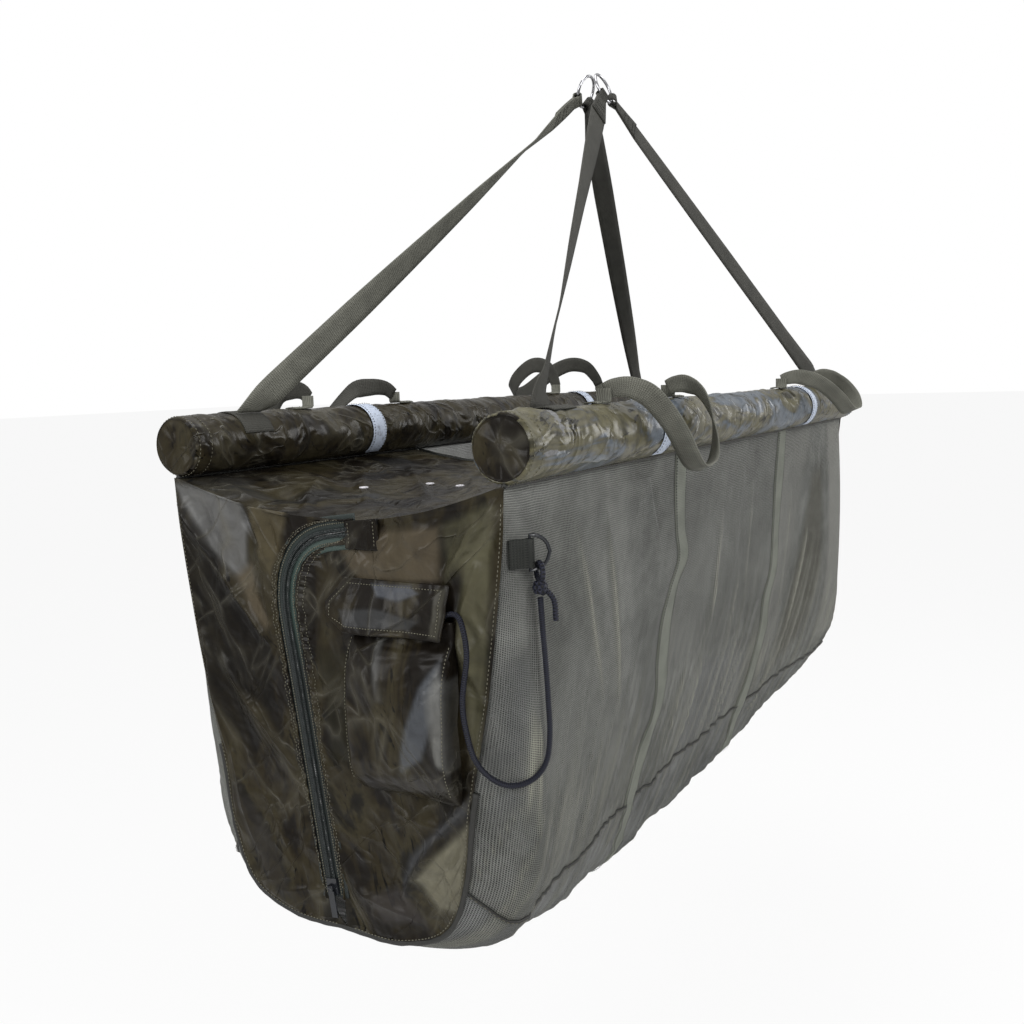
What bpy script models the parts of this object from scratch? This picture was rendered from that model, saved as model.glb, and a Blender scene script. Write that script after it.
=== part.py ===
"""A floating weigh sling for fish, hanging open from two rings.

Two buoyant tubes lie side by side. A net bag with a closed fabric end hangs below them, and four
webbing straps gather to the rings. Metres, +Z up, X along the tubes. The origin is where the
scale's hook carries both rings. The zip end is at -X, the near side at -Y.
"""
import math

import bmesh
import bpy
import numpy as np
from mathutils import Matrix, Vector

# Overall sizes
FLOAT_LENGTH = 1.200
FLOAT_RADIUS = 0.0311
FLOAT_SPACING = 0.380
HANG_DROP = 0.457
BAG_DEPTH_END = 0.455
BAG_DEPTH_MIDDLE = 0.550
END_PANEL_DEPTH = 0.430

# Walls and clearances
GAP = 0.0003
SEAT = 0.0006
FABRIC = 0.0012
WEBBING = 0.0015
TRIM = 0.0006

# Float tubes
CAP_LENGTH = 0.008
CAP_CROWN_SHARE = 0.84
BAR_RADIUS = 0.006
BAR_INSET = 0.030
BAND_WIDTH = 0.026
BAND_PLACE = 0.302
BAND_HALF_ANGLE = math.radians(150)

# Bag outline
CORNER_RUN = 0.045
SEAM_SHARE = 0.345
PANEL_OVERLAP = 0.003
PANEL_SAG = 0.036
MOUTH_SAG = 0.022
PANEL_SHARES = ((1.0, 0.0), (0.975, 0.15), (0.885, 0.43), (0.775, 0.66), (0.72, 0.83), (0.60, 0.95),
                (0.32, 1.0), (0.0, 1.0))
CORNER_SHARES = ((1.0, 0.0), (1.05, 0.30), (1.05, 0.55), (1.02, 0.72), (0.95, 0.85), (0.76, 0.955),
                 (0.40, 1.0), (0.0, 1.0))
MIDDLE_SHARES = ((1.0, 0.0), (0.93, 0.25), (0.83, 0.50), (0.72, 0.68), (0.61, 0.82), (0.47, 0.94),
                 (0.25, 0.99), (0.0, 1.0))
BELLY_POWER = 2.5
BAG_ROWS = 28
CORNER_ROWS = 4
WALL_COLUMNS = 6
FLOOR_COLUMNS = 9

# Hoods at both ends of the mouth
HOOD_LENGTH = 0.410
HOOD_INSET = 0.0035
HEM_HEIGHT = 0.027
HEM_DROP = 0.011
HEM_HALF_WIDTH = 0.178

# Webbing tapes round the bag
TAPE_WIDTH = 0.028
TAPE_PLACES_SHARES = (-0.33, 0.38)

# Suspension straps and rings
STRAP_WIDTH = 0.030
STRAP_PLACES = {
    ("zip_end", "near"): 0.503,
    ("zip_end", "far"): 0.510,
    ("plain_end", "near"): 0.510,
    ("plain_end", "far"): 0.538,
}
STRAP_FOOT_WIDTH = 0.036
STRAP_SETTLE = 0.035
FOOT_CLEARANCE = 0.0008
FOOT_ANGLE = math.radians(25)
LOOP_WIDTH = 0.014
LOOP_FOLD_BACK = 0.058
EYE_RADIUS = 0.0055
EYE_SHIFT = 0.0006
EYE_OPENING = math.radians(50)
EYE_NECK_SHARE = 1.9
RING_RADIUS = 0.020
RING_WIRE_RADIUS = 0.002
HOOK_HALF_SPREAD = 0.006
ANCHOR_LENGTH = 0.040
ANCHOR_HALF_ANGLE = math.radians(48)
STRAP_TWIST_SHARES = {
    ("zip_end", "near"): ((0, 0), (0.06, -34), (0.22, -45), (0.4, -32), (0.6, -22), (0.8, -6),
                          (0.92, 0), (1, 0)),
    ("zip_end", "far"): ((0, 0), (0.06, -33), (0.27, -22), (0.45, -2), (0.64, 18), (0.82, 42),
                         (0.92, 20), (1, 0)),
    ("plain_end", "near"): ((0, 0), (0.06, 32), (0.2, 22), (0.5, 18), (0.8, 10), (0.92, 5), (1, 0)),
    ("plain_end", "far"): ((0, 0), (0.06, 4), (0.25, -16), (0.5, -32), (0.75, -38), (0.9, -20),
                           (1, 0)),
}

# Carry handles
HANDLE_PLACE = 0.312
HANDLE_HALF_SPAN = 0.083
HANDLE_WIDTH = 0.025
HANDLE_FOOT_WIDTH = 0.0165
HANDLE_HINGE_HEIGHT = 0.0108
HANDLE_STUB_RISE = 0.003
HANDLE_OPEN_SHARE = 0.35
HANDLE_STUB_FOOT = 0.030
HANDLE_SHARES = ((1.0, 0.0), (0.97, 0.10), (0.86, 0.36), (0.70, 0.62), (0.54, 0.82), (0.36, 0.95),
                 (0.16, 1.0), (0.0, 1.0))
HANDLE_FALL = ((0.0, 0.0), (0.010, 0.0035), (0.024, 0.003), (0.040, -0.008), (0.052, -0.040),
               (0.056, -0.085))
HANDLE_REACH = ((0.0, 0.0), (0.010, 0.0035), (0.026, 0.004), (0.050, -0.006), (0.070, -0.028),
                (0.080, -0.050))
HANDLE_FLOP = ((0.0, 0.0), (0.010, 0.008), (0.026, 0.010), (0.045, 0.004), (0.060, -0.030),
               (0.066, -0.070))
HANDLE_ARCH = ((0.0, 0.0), (0.006, 0.014), (0.020, 0.032), (0.046, 0.036), (0.076, 0.018),
               (0.104, -0.012))
HANDLE_FORMS = {
    ("zip_end", "near"): (HANDLE_FALL, 0.045),
    ("zip_end", "far"): (HANDLE_FLOP, -0.050),
    ("plain_end", "near"): (HANDLE_REACH, 0.020),
    ("plain_end", "far"): (HANDLE_ARCH, -0.030),
}

# Zip
ZIP_OPENING_WIDTH = 0.024
ZIP_TAPE_WIDTH = 0.0163
ZIP_TAPE_WALL = 0.0008
COIL_WIDTH = 0.003
COIL_HEIGHT = 0.0022
COIL_HALF_SPACE = 0.0007
ZIP_TOP_SHARE = 0.299
ZIP_BOTTOM_SHARE = 0.9457
ZIP_TOP_SIDE = 0.052
ZIP_BOTTOM_SIDE = 0.012
ZIP_HOOK_WIDTH = 0.088
ZIP_HOOK_HEIGHT = 0.085
ZIP_ROWS = 32
ZIP_HOOK_SHARES = ((1.0, 1.0), (0.50, 0.92), (0.22, 0.76), (0.06, 0.52), (0.0, 0.28))

# Zip slider and its pull
SLIDER_LENGTH = 0.016
SLIDER_WIDTH = 0.0125
SLIDER_WALL = 0.0014
SLIDER_REST = 0.012
FLANGE_WALL = 0.001
WEDGE_WALL = 0.0008
WEDGE_LENGTH = 0.005
EAR_WALL = 0.0012
EAR_LENGTH = 0.004
PIN_RADIUS = 0.0007
PIN_HEIGHT = 0.0022
KNUCKLE_RADIUS = 0.0018
KNUCKLE_WIDTH = 0.0034
PULL_LENGTH = 0.030
PULL_WIDTH = 0.007
PULL_NECK = 0.0036
PULL_WALL = 0.0012

# Pocket on the end panel
POCKET_LEFT = -0.032
POCKET_RIGHT = -0.140
POCKET_FLAP_TOP = 0.1185
FLAP_TILT = math.radians(20)
FLAP_DROP = 0.051
FLAP_WALL = 0.0016
FLAP_LEFT = -0.003
FLAP_RIGHT = -0.136
FLAP_SHARES = ((0.14, 0.0), (0.0, 0.47), (0.03, 0.72), (0.20, 1.0), (1.0, 0.97), (1.0, 0.0))
POCKET_ROWS = 12
POCKET_COLUMNS = 16
POCKET_PROFILE = ((0.150, 0.0080), (0.168, 0.0095), (0.182, 0.0190), (0.198, 0.0255),
                  (0.225, 0.0280), (0.270, 0.0275), (0.298, 0.0210), (0.312, 0.0090), (0.317, 0.0020))
POCKET_WRAP_SHARES = ((0.0, 0.0), (0.0, 0.70), (0.03, 0.93), (0.10, 1.0), (0.5, 1.04), (0.9, 1.0),
                      (0.97, 0.93), (1.0, 0.70), (1.0, 0.0))

# Ring for the retention cord
D_TAB_ROOT = (0.0035, -0.1925)
D_TAB_TIP = (0.0220, -0.2028)
D_TAB_DEPTH = 0.090
D_TAB_WIDTH = 0.025
D_EYE_RADIUS = 0.0032
D_WIRE_RADIUS = 0.00175
D_HALF_HEIGHT = 0.0152
D_DEPTH = 0.018
D_HEADING = math.radians(-41)
D_SHARES = ((0.0, 1.0), (0.30, 0.97), (0.62, 0.80), (0.86, 0.50), (1.0, 0.0))

# Retention cord
CORD_RADIUS = 0.0025
CORD_STEP = 0.0125
KNOT_LOOP_RADIUS = 0.0078
KNOT_PLACE_SHARE = 0.46
KNOT_RADIUS = 0.0072
KNOT_HEIGHT = 0.0165
TAIL_LENGTH = 0.030
HANK_LOOPS = 7
HANK_RUN = 0.076
HANK_BEND = 0.0085
HANK_PITCH = 0.0057
HANK_MIDDLE = (-0.0985, -0.242)
CORD_ROUTE = ((-0.0148, -0.1100, -0.1925), (-0.0115, -0.1125, -0.1800), (-0.0066, -0.1180, -0.1630),
              (-0.0058, -0.1290, -0.1470), (-0.0075, -0.1435, -0.1425), (-0.0140, -0.1545, -0.1500),
              (-0.0155, -0.1590, -0.1760), (-0.0190, -0.1555, -0.2131), (-0.0180, -0.1570, -0.2397),
              (-0.0124, -0.1616, -0.2679), (-0.0020, -0.1701, -0.2861), (0.0110, -0.1819, -0.2962),
              (0.0251, -0.1960, -0.2937), (0.0350, -0.2055, -0.2794), (0.0380, -0.2085, -0.2552),
              (0.0370, -0.2085, -0.2231), (0.0340, -0.2085, -0.1868), (0.0300, -0.2090, -0.1600))

# Derived places
HALF_LENGTH = FLOAT_LENGTH / 2
HALF_SPACING = FLOAT_SPACING / 2
BAG_TOP = -HANG_DROP - FLOAT_RADIUS - GAP
PANEL_BACK = HALF_LENGTH + GAP
PANEL_FACE = PANEL_BACK + FABRIC
MOUTH_PLACE = HALF_LENGTH - HOOD_LENGTH
ANCHOR_RADIUS = FLOAT_RADIUS + GAP
FOOT_RADIUS = ANCHOR_RADIUS + WEBBING + FOOT_CLEARANCE
STRAP_FOOT_Y = HALF_SPACING - FOOT_RADIUS * math.sin(FOOT_ANGLE)
STRAP_FOOT_Z = -HANG_DROP + FOOT_RADIUS * math.cos(FOOT_ANGLE)
ZIP_TOP = FLOAT_RADIUS + GAP + ZIP_TOP_SHARE * END_PANEL_DEPTH
ZIP_BOTTOM = FLOAT_RADIUS + GAP + ZIP_BOTTOM_SHARE * END_PANEL_DEPTH
HANDLE_HINGE_Z = -HANG_DROP + FLOAT_RADIUS + HANDLE_HINGE_HEIGHT
LAYER = (WEBBING + GAP) / 2
X_AXIS = Vector((1, 0, 0))
SIDES = {"near": -1, "far": 1}
ENDS = {"zip_end": -1, "plain_end": 1}


def clear_scene():
    for item in list(bpy.data.objects):
        bpy.data.objects.remove(item, do_unlink=True)


def new_collection(name):
    folder = bpy.data.collections.new(name)
    bpy.context.scene.collection.children.link(folder)
    return folder


def make_material(name, colour, roughness, metallic=0.0):
    material = bpy.data.materials.new(name)
    material.use_nodes = True
    shader = material.node_tree.nodes["Principled BSDF"]
    shader.inputs["Base Color"].default_value = (*colour, 1.0)
    shader.inputs["Roughness"].default_value = roughness
    shader.inputs["Metallic"].default_value = metallic
    return material


clear_scene()
SLING = new_collection("weigh_sling")
CUTTERS = new_collection("weigh_sling_cutters")
COATED_CLOTH = make_material("coated_cloth", (0.075, 0.070, 0.045), 0.32)
DARK_CLOTH = make_material("dark_cloth", (0.045, 0.040, 0.030), 0.38)
NET = make_material("net", (0.20, 0.20, 0.15), 0.75)
STRAPPING = make_material("webbing", (0.13, 0.13, 0.10), 0.70)
REFLECTIVE = make_material("reflective_tape", (0.62, 0.65, 0.72), 0.30)
FOAM = make_material("foam", (0.20, 0.20, 0.20), 0.90)
STEEL = make_material("steel", (0.75, 0.75, 0.76), 0.18, 1.0)
BLACK_METAL = make_material("black_metal", (0.03, 0.03, 0.035), 0.30, 0.8)
ALUMINIUM = make_material("aluminium", (0.60, 0.60, 0.62), 0.35, 1.0)
ZIP_CLOTH = make_material("zip_cloth", (0.06, 0.075, 0.06), 0.70)
COIL_PLASTIC = make_material("coil_plastic", (0.05, 0.055, 0.055), 0.40)
CORD_YARN = make_material("cord_yarn", (0.045, 0.045, 0.07), 0.65)


def keep(item, name, material, folder=SLING):
    """Names an object, gives it its material and files it."""
    item.name = name
    item.data.name = name
    item.data.materials.clear()
    item.data.materials.append(material)
    for other in list(item.users_collection):
        other.objects.unlink(item)
    folder.objects.link(item)
    return item


def from_bmesh(mesh, name, material, folder=SLING):
    data = bpy.data.meshes.new(name)
    mesh.to_mesh(data)
    mesh.free()
    return keep(bpy.data.objects.new(name, data), name, material, folder)


def solidify(item, wall, offset):
    thick = item.modifiers.new("wall", "SOLIDIFY")
    thick.thickness = wall
    thick.offset = offset


def smooth(item, angle=math.radians(40)):
    item.data.shade_smooth()
    item.data.set_sharp_from_angle(angle=angle)


def sheet(name, place, across, along, wall, offset, material):
    """A panel laid on place(u, v), u and v from 0 to 1, and given its wall."""
    mesh = bmesh.new()
    grid = bmesh.ops.create_grid(mesh, x_segments=across, y_segments=along, size=0.5)
    for vert in grid["verts"]:
        vert.co = place(vert.co.x + 0.5, vert.co.y + 0.5)
    item = from_bmesh(mesh, name, material)
    solidify(item, wall, offset)
    smooth(item)
    return item


def spline_through(points, samples):
    """Evenly spaced points on a smooth curve through the given ones."""
    knots = np.array(points, float)
    ends = np.vstack([2 * knots[0] - knots[1], knots, 2 * knots[-1] - knots[-2]])
    dense = []
    for i in range(len(knots) - 1):
        p0, p1, p2, p3 = ends[i:i + 4]
        for t in np.linspace(0, 1, 24, endpoint=False):
            dense.append(0.5 * (2 * p1 + (p2 - p0) * t + (2 * p0 - 5 * p1 + 4 * p2 - p3) * t ** 2
                                + (3 * p1 - p0 - 3 * p2 + p3) * t ** 3))
    dense.append(knots[-1])
    dense = np.array(dense)
    run = np.concatenate([[0], np.cumsum(np.linalg.norm(np.diff(dense, axis=0), axis=1))])
    wanted = np.linspace(0, run[-1], samples)
    return np.stack([np.interp(wanted, run, dense[:, k]) for k in range(dense.shape[1])], axis=1)


def tube(name, points, radius, resolution, material, folder=SLING):
    """A closed tube along points, as a curve with filled caps."""
    data = bpy.data.curves.new(name, "CURVE")
    data.dimensions = "3D"
    line = data.splines.new("POLY")
    line.points.add(len(points) - 1)
    for knot, point in zip(line.points, points):
        knot.co = (*point, 1.0)
    data.bevel_depth = radius
    data.bevel_resolution = resolution
    data.use_fill_caps = True
    return keep(bpy.data.objects.new(name, data), name, material, folder)


def ribbon(name, stations, wall, material):
    """A strip of webbing through stations of middle point, width direction and half width."""
    def place(u, v):
        middle, across, half = stations[round(v * (len(stations) - 1))]
        return middle + across * half * (2 * u - 1)
    return sheet(name, place, 1, len(stations) - 1, wall, 0, material)


def turned(name, profile, steps, placing, material):
    """A profile of radius and height, from top to bottom, turned round its own axis."""
    data = bpy.data.meshes.new(name)
    mesh = bmesh.new()
    verts = [mesh.verts.new((radius, 0, height)) for radius, height in profile]
    for first, second in zip(verts, verts[1:]):
        mesh.edges.new((first, second))
    mesh.to_mesh(data)
    mesh.free()
    item = keep(bpy.data.objects.new(name, data), name, material)
    turn = item.modifiers.new("turn", "SCREW")
    turn.steps = turn.render_steps = steps
    turn.use_merge_vertices = True
    turn.merge_threshold = GAP / 10
    item.matrix_world = placing
    smooth(item)
    return item


def cylinder(name, radius, length, segments, placing, material, folder=SLING):
    mesh = bmesh.new()
    bmesh.ops.create_cone(mesh, cap_ends=True, segments=segments, radius1=radius, radius2=radius,
                          depth=length)
    item = from_bmesh(mesh, name, material, folder)
    item.matrix_world = placing
    smooth(item)
    return item


def box(name, low, high, placing, material, folder=SLING):
    """A block between two corners of its own axes."""
    mesh = bmesh.new()
    low, high = Vector(low), Vector(high)
    bmesh.ops.create_cube(mesh, size=1)
    bmesh.ops.scale(mesh, vec=high - low, verts=mesh.verts)
    bmesh.ops.translate(mesh, vec=(low + high) / 2, verts=mesh.verts)
    item = from_bmesh(mesh, name, material, folder)
    item.matrix_world = placing
    return item


def pivot(name, place, riders):
    """An empty on a joint's axis that carries the pieces which turn there."""
    empty = bpy.data.objects.new(name, None)
    SLING.objects.link(empty)
    empty.location = place
    for rider in riders:
        rider.parent = empty
        rider.matrix_parent_inverse = Matrix.Translation(place).inverted()
    return empty


def axes(along, across, out, origin):
    """A placing whose own X, Y and Z point along, across and out."""
    placing = Matrix((along, across, out)).transposed().to_4x4()
    placing.translation = origin
    return placing


def flat_plate(name, outline, wall, placing, material):
    """A flat outline with a wall, its middle plane set by placing."""
    data = bpy.data.curves.new(name, "CURVE")
    data.dimensions = "2D"
    data.fill_mode = "BOTH"
    data.extrude = wall / 2
    line = data.splines.new("POLY")
    line.points.add(len(outline) - 1)
    for knot, point in zip(line.points, outline):
        knot.co = (point[0], point[1], 0.0, 1.0)
    line.use_cyclic_u = True
    item = keep(bpy.data.objects.new(name, data), name, material)
    item.matrix_world = placing
    return item


def as_mesh(item):
    """The curve's own mesh, with its caps welded, in place of the curve."""
    bpy.context.view_layer.update()
    graph = bpy.context.evaluated_depsgraph_get()
    data = bpy.data.meshes.new_from_object(item.evaluated_get(graph))
    mesh = bmesh.new()
    mesh.from_mesh(data)
    bmesh.ops.remove_doubles(mesh, verts=mesh.verts, dist=GAP / 100)
    mesh.to_mesh(data)
    mesh.free()
    name, material, folder = item.name, item.data.materials[0], item.users_collection[0]
    place = item.matrix_world.copy()
    bpy.data.objects.remove(item, do_unlink=True)
    solid = keep(bpy.data.objects.new(name, data), name, material, folder)
    solid.matrix_world = place
    return solid


def cut_or_join(item, tool, operation):
    """Cuts a hidden tool from an object, or joins it on."""
    change = item.modifiers.new(operation.lower(), "BOOLEAN")
    change.operation = operation
    change.object = tool
    tool.hide_render = True
    tool.display_type = "WIRE"
    for folder in list(tool.users_collection):
        folder.objects.unlink(tool)
    CUTTERS.objects.link(tool)


# The bag's shell

def blend(a, b, share):
    return np.array(a) * (1 - share) + np.array(b) * share


def section_knots(x):
    """Half of the bag's cross-section at x, from the tube down to the middle of the floor."""
    belly = 1 - min(abs(x) / (HALF_LENGTH - CORNER_RUN), 1.0) ** BELLY_POWER
    side = [blend(e, m, belly) for e, m in zip(CORNER_SHARES, MIDDLE_SHARES)]
    depth = BAG_DEPTH_END + (BAG_DEPTH_MIDDLE - BAG_DEPTH_END) * belly
    body = [(p[0] * HALF_SPACING, BAG_TOP - p[1] * depth) for p in side]
    turn = min((HALF_LENGTH - abs(x)) / CORNER_RUN, 1.0)
    panel = [(p[0] * HALF_SPACING, BAG_TOP - p[1] * END_PANEL_DEPTH) for p in PANEL_SHARES]
    return [blend(p, b, math.sin(turn * math.pi / 2)) for p, b in zip(panel, body)]


SECTIONS = {}


def section(x):
    key = round(x, 6)
    if key not in SECTIONS:
        half = section_knots(x)
        whole = [(-y, z) for y, z in half] + [(y, z) for y, z in reversed(half[:-1])]
        SECTIONS[key] = spline_through(whole, 161)
    return SECTIONS[key]


def bag_point(x, s):
    """A point of the bag at x, at the share s of the way from the near tube to the far one."""
    line = section(x)
    steps = np.linspace(0, 1, len(line))
    return Vector((x, float(np.interp(s, steps, line[:, 0])), float(np.interp(s, steps, line[:, 1]))))


def bag_normal(x, s):
    step = 0.004
    inward = max(-HALF_LENGTH, min(HALF_LENGTH, x))
    along = bag_point(min(inward + step, HALF_LENGTH), s) - bag_point(max(inward - step, -HALF_LENGTH), s)
    across = bag_point(x, min(s + step, 1)) - bag_point(x, max(s - step, 0))
    return across.cross(along).normalized()


def along_bag(v):
    """Places of the rows along the bag, closer where its corners turn."""
    even = 2 * v - 1
    turn = CORNER_RUN / HALF_LENGTH
    knee = 1 - 2 * CORNER_ROWS / BAG_ROWS
    if abs(even) < knee:
        return HALF_LENGTH * (1 - turn) * even / knee
    reach = HALF_LENGTH * (1 - turn) + (CORNER_RUN - FABRIC) * (abs(even) - knee) / (1 - knee)
    return math.copysign(reach, even)


# Float tubes

def make_floats():
    half_sleeve = HALF_LENGTH - CAP_LENGTH - GAP
    lying = Matrix.Rotation(math.pi / 2, 4, "Y")
    crown = CAP_CROWN_SHARE * FLOAT_RADIUS
    cap = [(0, CAP_LENGTH), (crown, CAP_LENGTH), (FLOAT_RADIUS, CAP_LENGTH / 3), (FLOAT_RADIUS, 0), (0, 0)]
    for side_name, side in SIDES.items():
        axis = Vector((0, side * HALF_SPACING, -HANG_DROP))
        placing = Matrix.Translation(axis) @ lying
        mesh = bmesh.new()
        bmesh.ops.create_cone(mesh, cap_ends=False, segments=32, radius1=FLOAT_RADIUS,
                              radius2=FLOAT_RADIUS, depth=2 * half_sleeve)
        sleeve = from_bmesh(mesh, f"float_sleeve_{side_name}", COATED_CLOTH)
        sleeve.matrix_world = placing
        solidify(sleeve, FABRIC, -1)
        smooth(sleeve)
        cylinder(f"foam_core_{side_name}", FLOAT_RADIUS - FABRIC - GAP, 2 * (half_sleeve - GAP), 24,
                 placing, FOAM)
        for end_name, end in ENDS.items():
            face = Matrix.Translation(axis + end * (HALF_LENGTH - CAP_LENGTH) * X_AXIS)
            turned(f"float_cap_{end_name}_{side_name}", cap, 32,
                   face @ Matrix.Rotation(end * math.pi / 2, 4, "Y"), DARK_CLOTH)
            wrap(f"reflective_band_{end_name}_{side_name}", side, end * BAND_PLACE, BAND_WIDTH,
                 BAND_HALF_ANGLE, 24, TRIM, REFLECTIVE, 0)
            wrap(f"strap_anchor_{end_name}_{side_name}", side,
                 end * STRAP_PLACES[end_name, side_name], ANCHOR_LENGTH,
                 ANCHOR_HALF_ANGLE, 8, WEBBING, STRAPPING, -side * FOOT_ANGLE)


def wrap(name, side, middle, length, half_angle, across, wall, material, turn):
    """A strip bent over the top of a tube."""
    def place(u, v):
        angle = turn + half_angle * (2 * u - 1)
        return Vector((middle + length * (v - 0.5), side * HALF_SPACING + ANCHOR_RADIUS * math.sin(angle),
                       -HANG_DROP + ANCHOR_RADIUS * math.cos(angle)))
    return sheet(name, place, across, 1, wall, -1, material)


# Suspension straps and hang rings

def eye_turn(radius):
    """The bend round a wire, as distance along the strip and height off it."""
    turns = np.linspace(EYE_OPENING, 2 * math.pi - EYE_OPENING, 9)
    return [(-radius * math.cos(turn), -radius * math.sin(turn)) for turn in turns]


def leaning(side):
    """The unit vectors up and out of the plane of one pair of straps, and its ring's centre."""
    foot = Vector((0, side * STRAP_FOOT_Y, STRAP_FOOT_Z))
    top = Vector((0, side * HOOK_HALF_SPREAD, RING_WIRE_RADIUS))
    up = (top - foot).normalized()
    return up, -side * X_AXIS.cross(up), top - up * RING_RADIUS


def make_strap(end_name, side_name):
    end, side = ENDS[end_name], SIDES[side_name]
    up, out, ring = leaning(side)
    foot = Vector((end * STRAP_PLACES[end_name, side_name], side * STRAP_FOOT_Y, STRAP_FOOT_Z))
    pull = (ring - foot).normalized()
    eye = ring - pull * (RING_RADIUS + EYE_SHIFT)
    flat = out.cross(pull)
    flat = flat if flat.x > 0 else -flat
    length = (eye - foot).length
    twist = STRAP_TWIST_SHARES[end_name, side_name]

    def station(back, off, off_shift=0.0):
        """A station at a distance back from the eye, off the strap's own surface."""
        share = min(max(1 - back / length, 0), 1)
        turn = math.radians(float(np.interp(share, *zip(*twist))))
        across = math.cos(turn) * flat + math.sin(turn) * out
        normal = math.cos(turn) * out - math.sin(turn) * flat
        settle = min((length - back) / STRAP_SETTLE, 1)
        across = (X_AXIS * (1 - settle) + across * settle).normalized()
        taper = min(max(back / LOOP_FOLD_BACK, 0), 1)
        half = (STRAP_FOOT_WIDTH * (1 - settle) + STRAP_WIDTH * settle) / 2
        half = LOOP_WIDTH / 2 + (half - LOOP_WIDTH / 2) * taper
        return eye - pull * back + normal * off, across, half

    neck = EYE_RADIUS * EYE_NECK_SHARE
    backs = np.concatenate([np.linspace(length, length - STRAP_SETTLE, 4),
                            np.linspace(length - STRAP_SETTLE, LOOP_FOLD_BACK, 18)[1:],
                            np.linspace(LOOP_FOLD_BACK, neck, 5)[1:]])
    stations = [station(back, -LAYER if back < length - STRAP_SETTLE else
                        -LAYER * min((length - back) / STRAP_SETTLE, 1)) for back in backs]
    stations += [station(-along, off) for along, off in eye_turn(EYE_RADIUS)]
    stations += [station(back, LAYER) for back in np.linspace(neck, LOOP_FOLD_BACK, 5)]
    return ribbon(f"suspension_strap_{end_name}_{side_name}", stations, WEBBING, STRAPPING)


def make_suspension():
    for side_name, side in SIDES.items():
        straps = [make_strap(end_name, side_name) for end_name in ENDS]
        up, out, centre = leaning(side)
        bpy.ops.mesh.primitive_torus_add(major_radius=RING_RADIUS, minor_radius=RING_WIRE_RADIUS,
                                         major_segments=32, minor_segments=8)
        ring = keep(bpy.context.object, f"hang_ring_{side_name}", STEEL)
        ring.matrix_world = axes(X_AXIS, out.cross(X_AXIS), out, centre)
        smooth(ring)
        place = STRAP_PLACES["plain_end", side_name]
        pull = (centre - Vector((place, side * STRAP_FOOT_Y, STRAP_FOOT_Z))).normalized()
        chord = centre - pull * RING_RADIUS
        chord.x = 0
        bpy.context.view_layer.update()
        pivot(f"hang_ring_pivot_{side_name}", chord, [ring])
        pivot(f"strap_pivot_{side_name}", Vector((0, side * STRAP_FOOT_Y, STRAP_FOOT_Z)), straps)


# Carry handles

def make_handle(end_name, side_name):
    """One loop, flopped outward over the tube, and the two stubs that it is sewn to."""
    end, side = ENDS[end_name], SIDES[side_name]
    form, lean = HANDLE_FORMS[end_name, side_name]
    plan = list(HANDLE_SHARES) + [(-a, h) for a, h in reversed(HANDLE_SHARES[:-1])]
    plan = spline_through([(a, 2 * h) for a, h in plan], 27)
    fall = spline_through(form, 61)
    stations = []
    for a, h in plan:
        share = min(max(h / 2, 0), 1)
        place = share * (len(fall) - 1)
        low = min(int(place), len(fall) - 2)
        step = fall[low + 1] - fall[low]
        reach, rise = fall[low] + step * (place - low)
        normal = Vector((0, -side * step[1], step[0])).normalized()
        leaning_over = lean * share ** 2 * (3 - 2 * share)
        middle = Vector((end * HANDLE_PLACE + a * HANDLE_HALF_SPAN + leaning_over,
                         side * (HALF_SPACING + reach), HANDLE_HINGE_Z + rise))
        spread = min(share / HANDLE_OPEN_SHARE, 1)
        width = HANDLE_FOOT_WIDTH + (HANDLE_WIDTH - HANDLE_FOOT_WIDTH) * spread
        stations.append((middle, normal, width / 2))
    name = f"{end_name}_{side_name}"
    handle = ribbon(f"carry_handle_{name}", stations, WEBBING, STRAPPING)
    pivot(f"handle_pivot_{name}", Vector((end * HANDLE_PLACE, side * HALF_SPACING, HANDLE_HINGE_Z)),
          [handle])
    for foot_name, foot in (("outer", end), ("inner", -end)):
        make_stub(f"handle_anchor_{name}_{foot_name}", end * HANDLE_PLACE, side, foot)


def make_stub(name, middle, side, foot):
    """A tab sewn on the tube that turns up to stand beside the handle's foot."""
    rows = [(HANDLE_STUB_FOOT, 0), (HANDLE_STUB_FOOT / 2, 0), (WEBBING * 1.5, 0), (0, 0.16), (0, 0.5), (0, 1)]
    start = middle + foot * (HANDLE_HALF_SPAN + WEBBING + GAP)
    top = HANDLE_HINGE_Z + HANDLE_STUB_RISE
    radius = ANCHOR_RADIUS + WEBBING / 2

    def place(u, v):
        along, lift = rows[round(v * (len(rows) - 1))]
        y = HANDLE_FOOT_WIDTH * (u - 0.5)
        low = -HANG_DROP + math.sqrt(radius ** 2 - y ** 2)
        return Vector((start + foot * along, side * HALF_SPACING + y, low + (top - low) * lift))
    return sheet(name, place, 6, len(rows) - 1, WEBBING, 0, STRAPPING)


# Net bag

def bag_sheet(name, start, stop, across, material):
    def place(u, v):
        return bag_point(along_bag(v), start + (stop - start) * u)
    return sheet(name, place, across, BAG_ROWS, FABRIC, 1, material)


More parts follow.
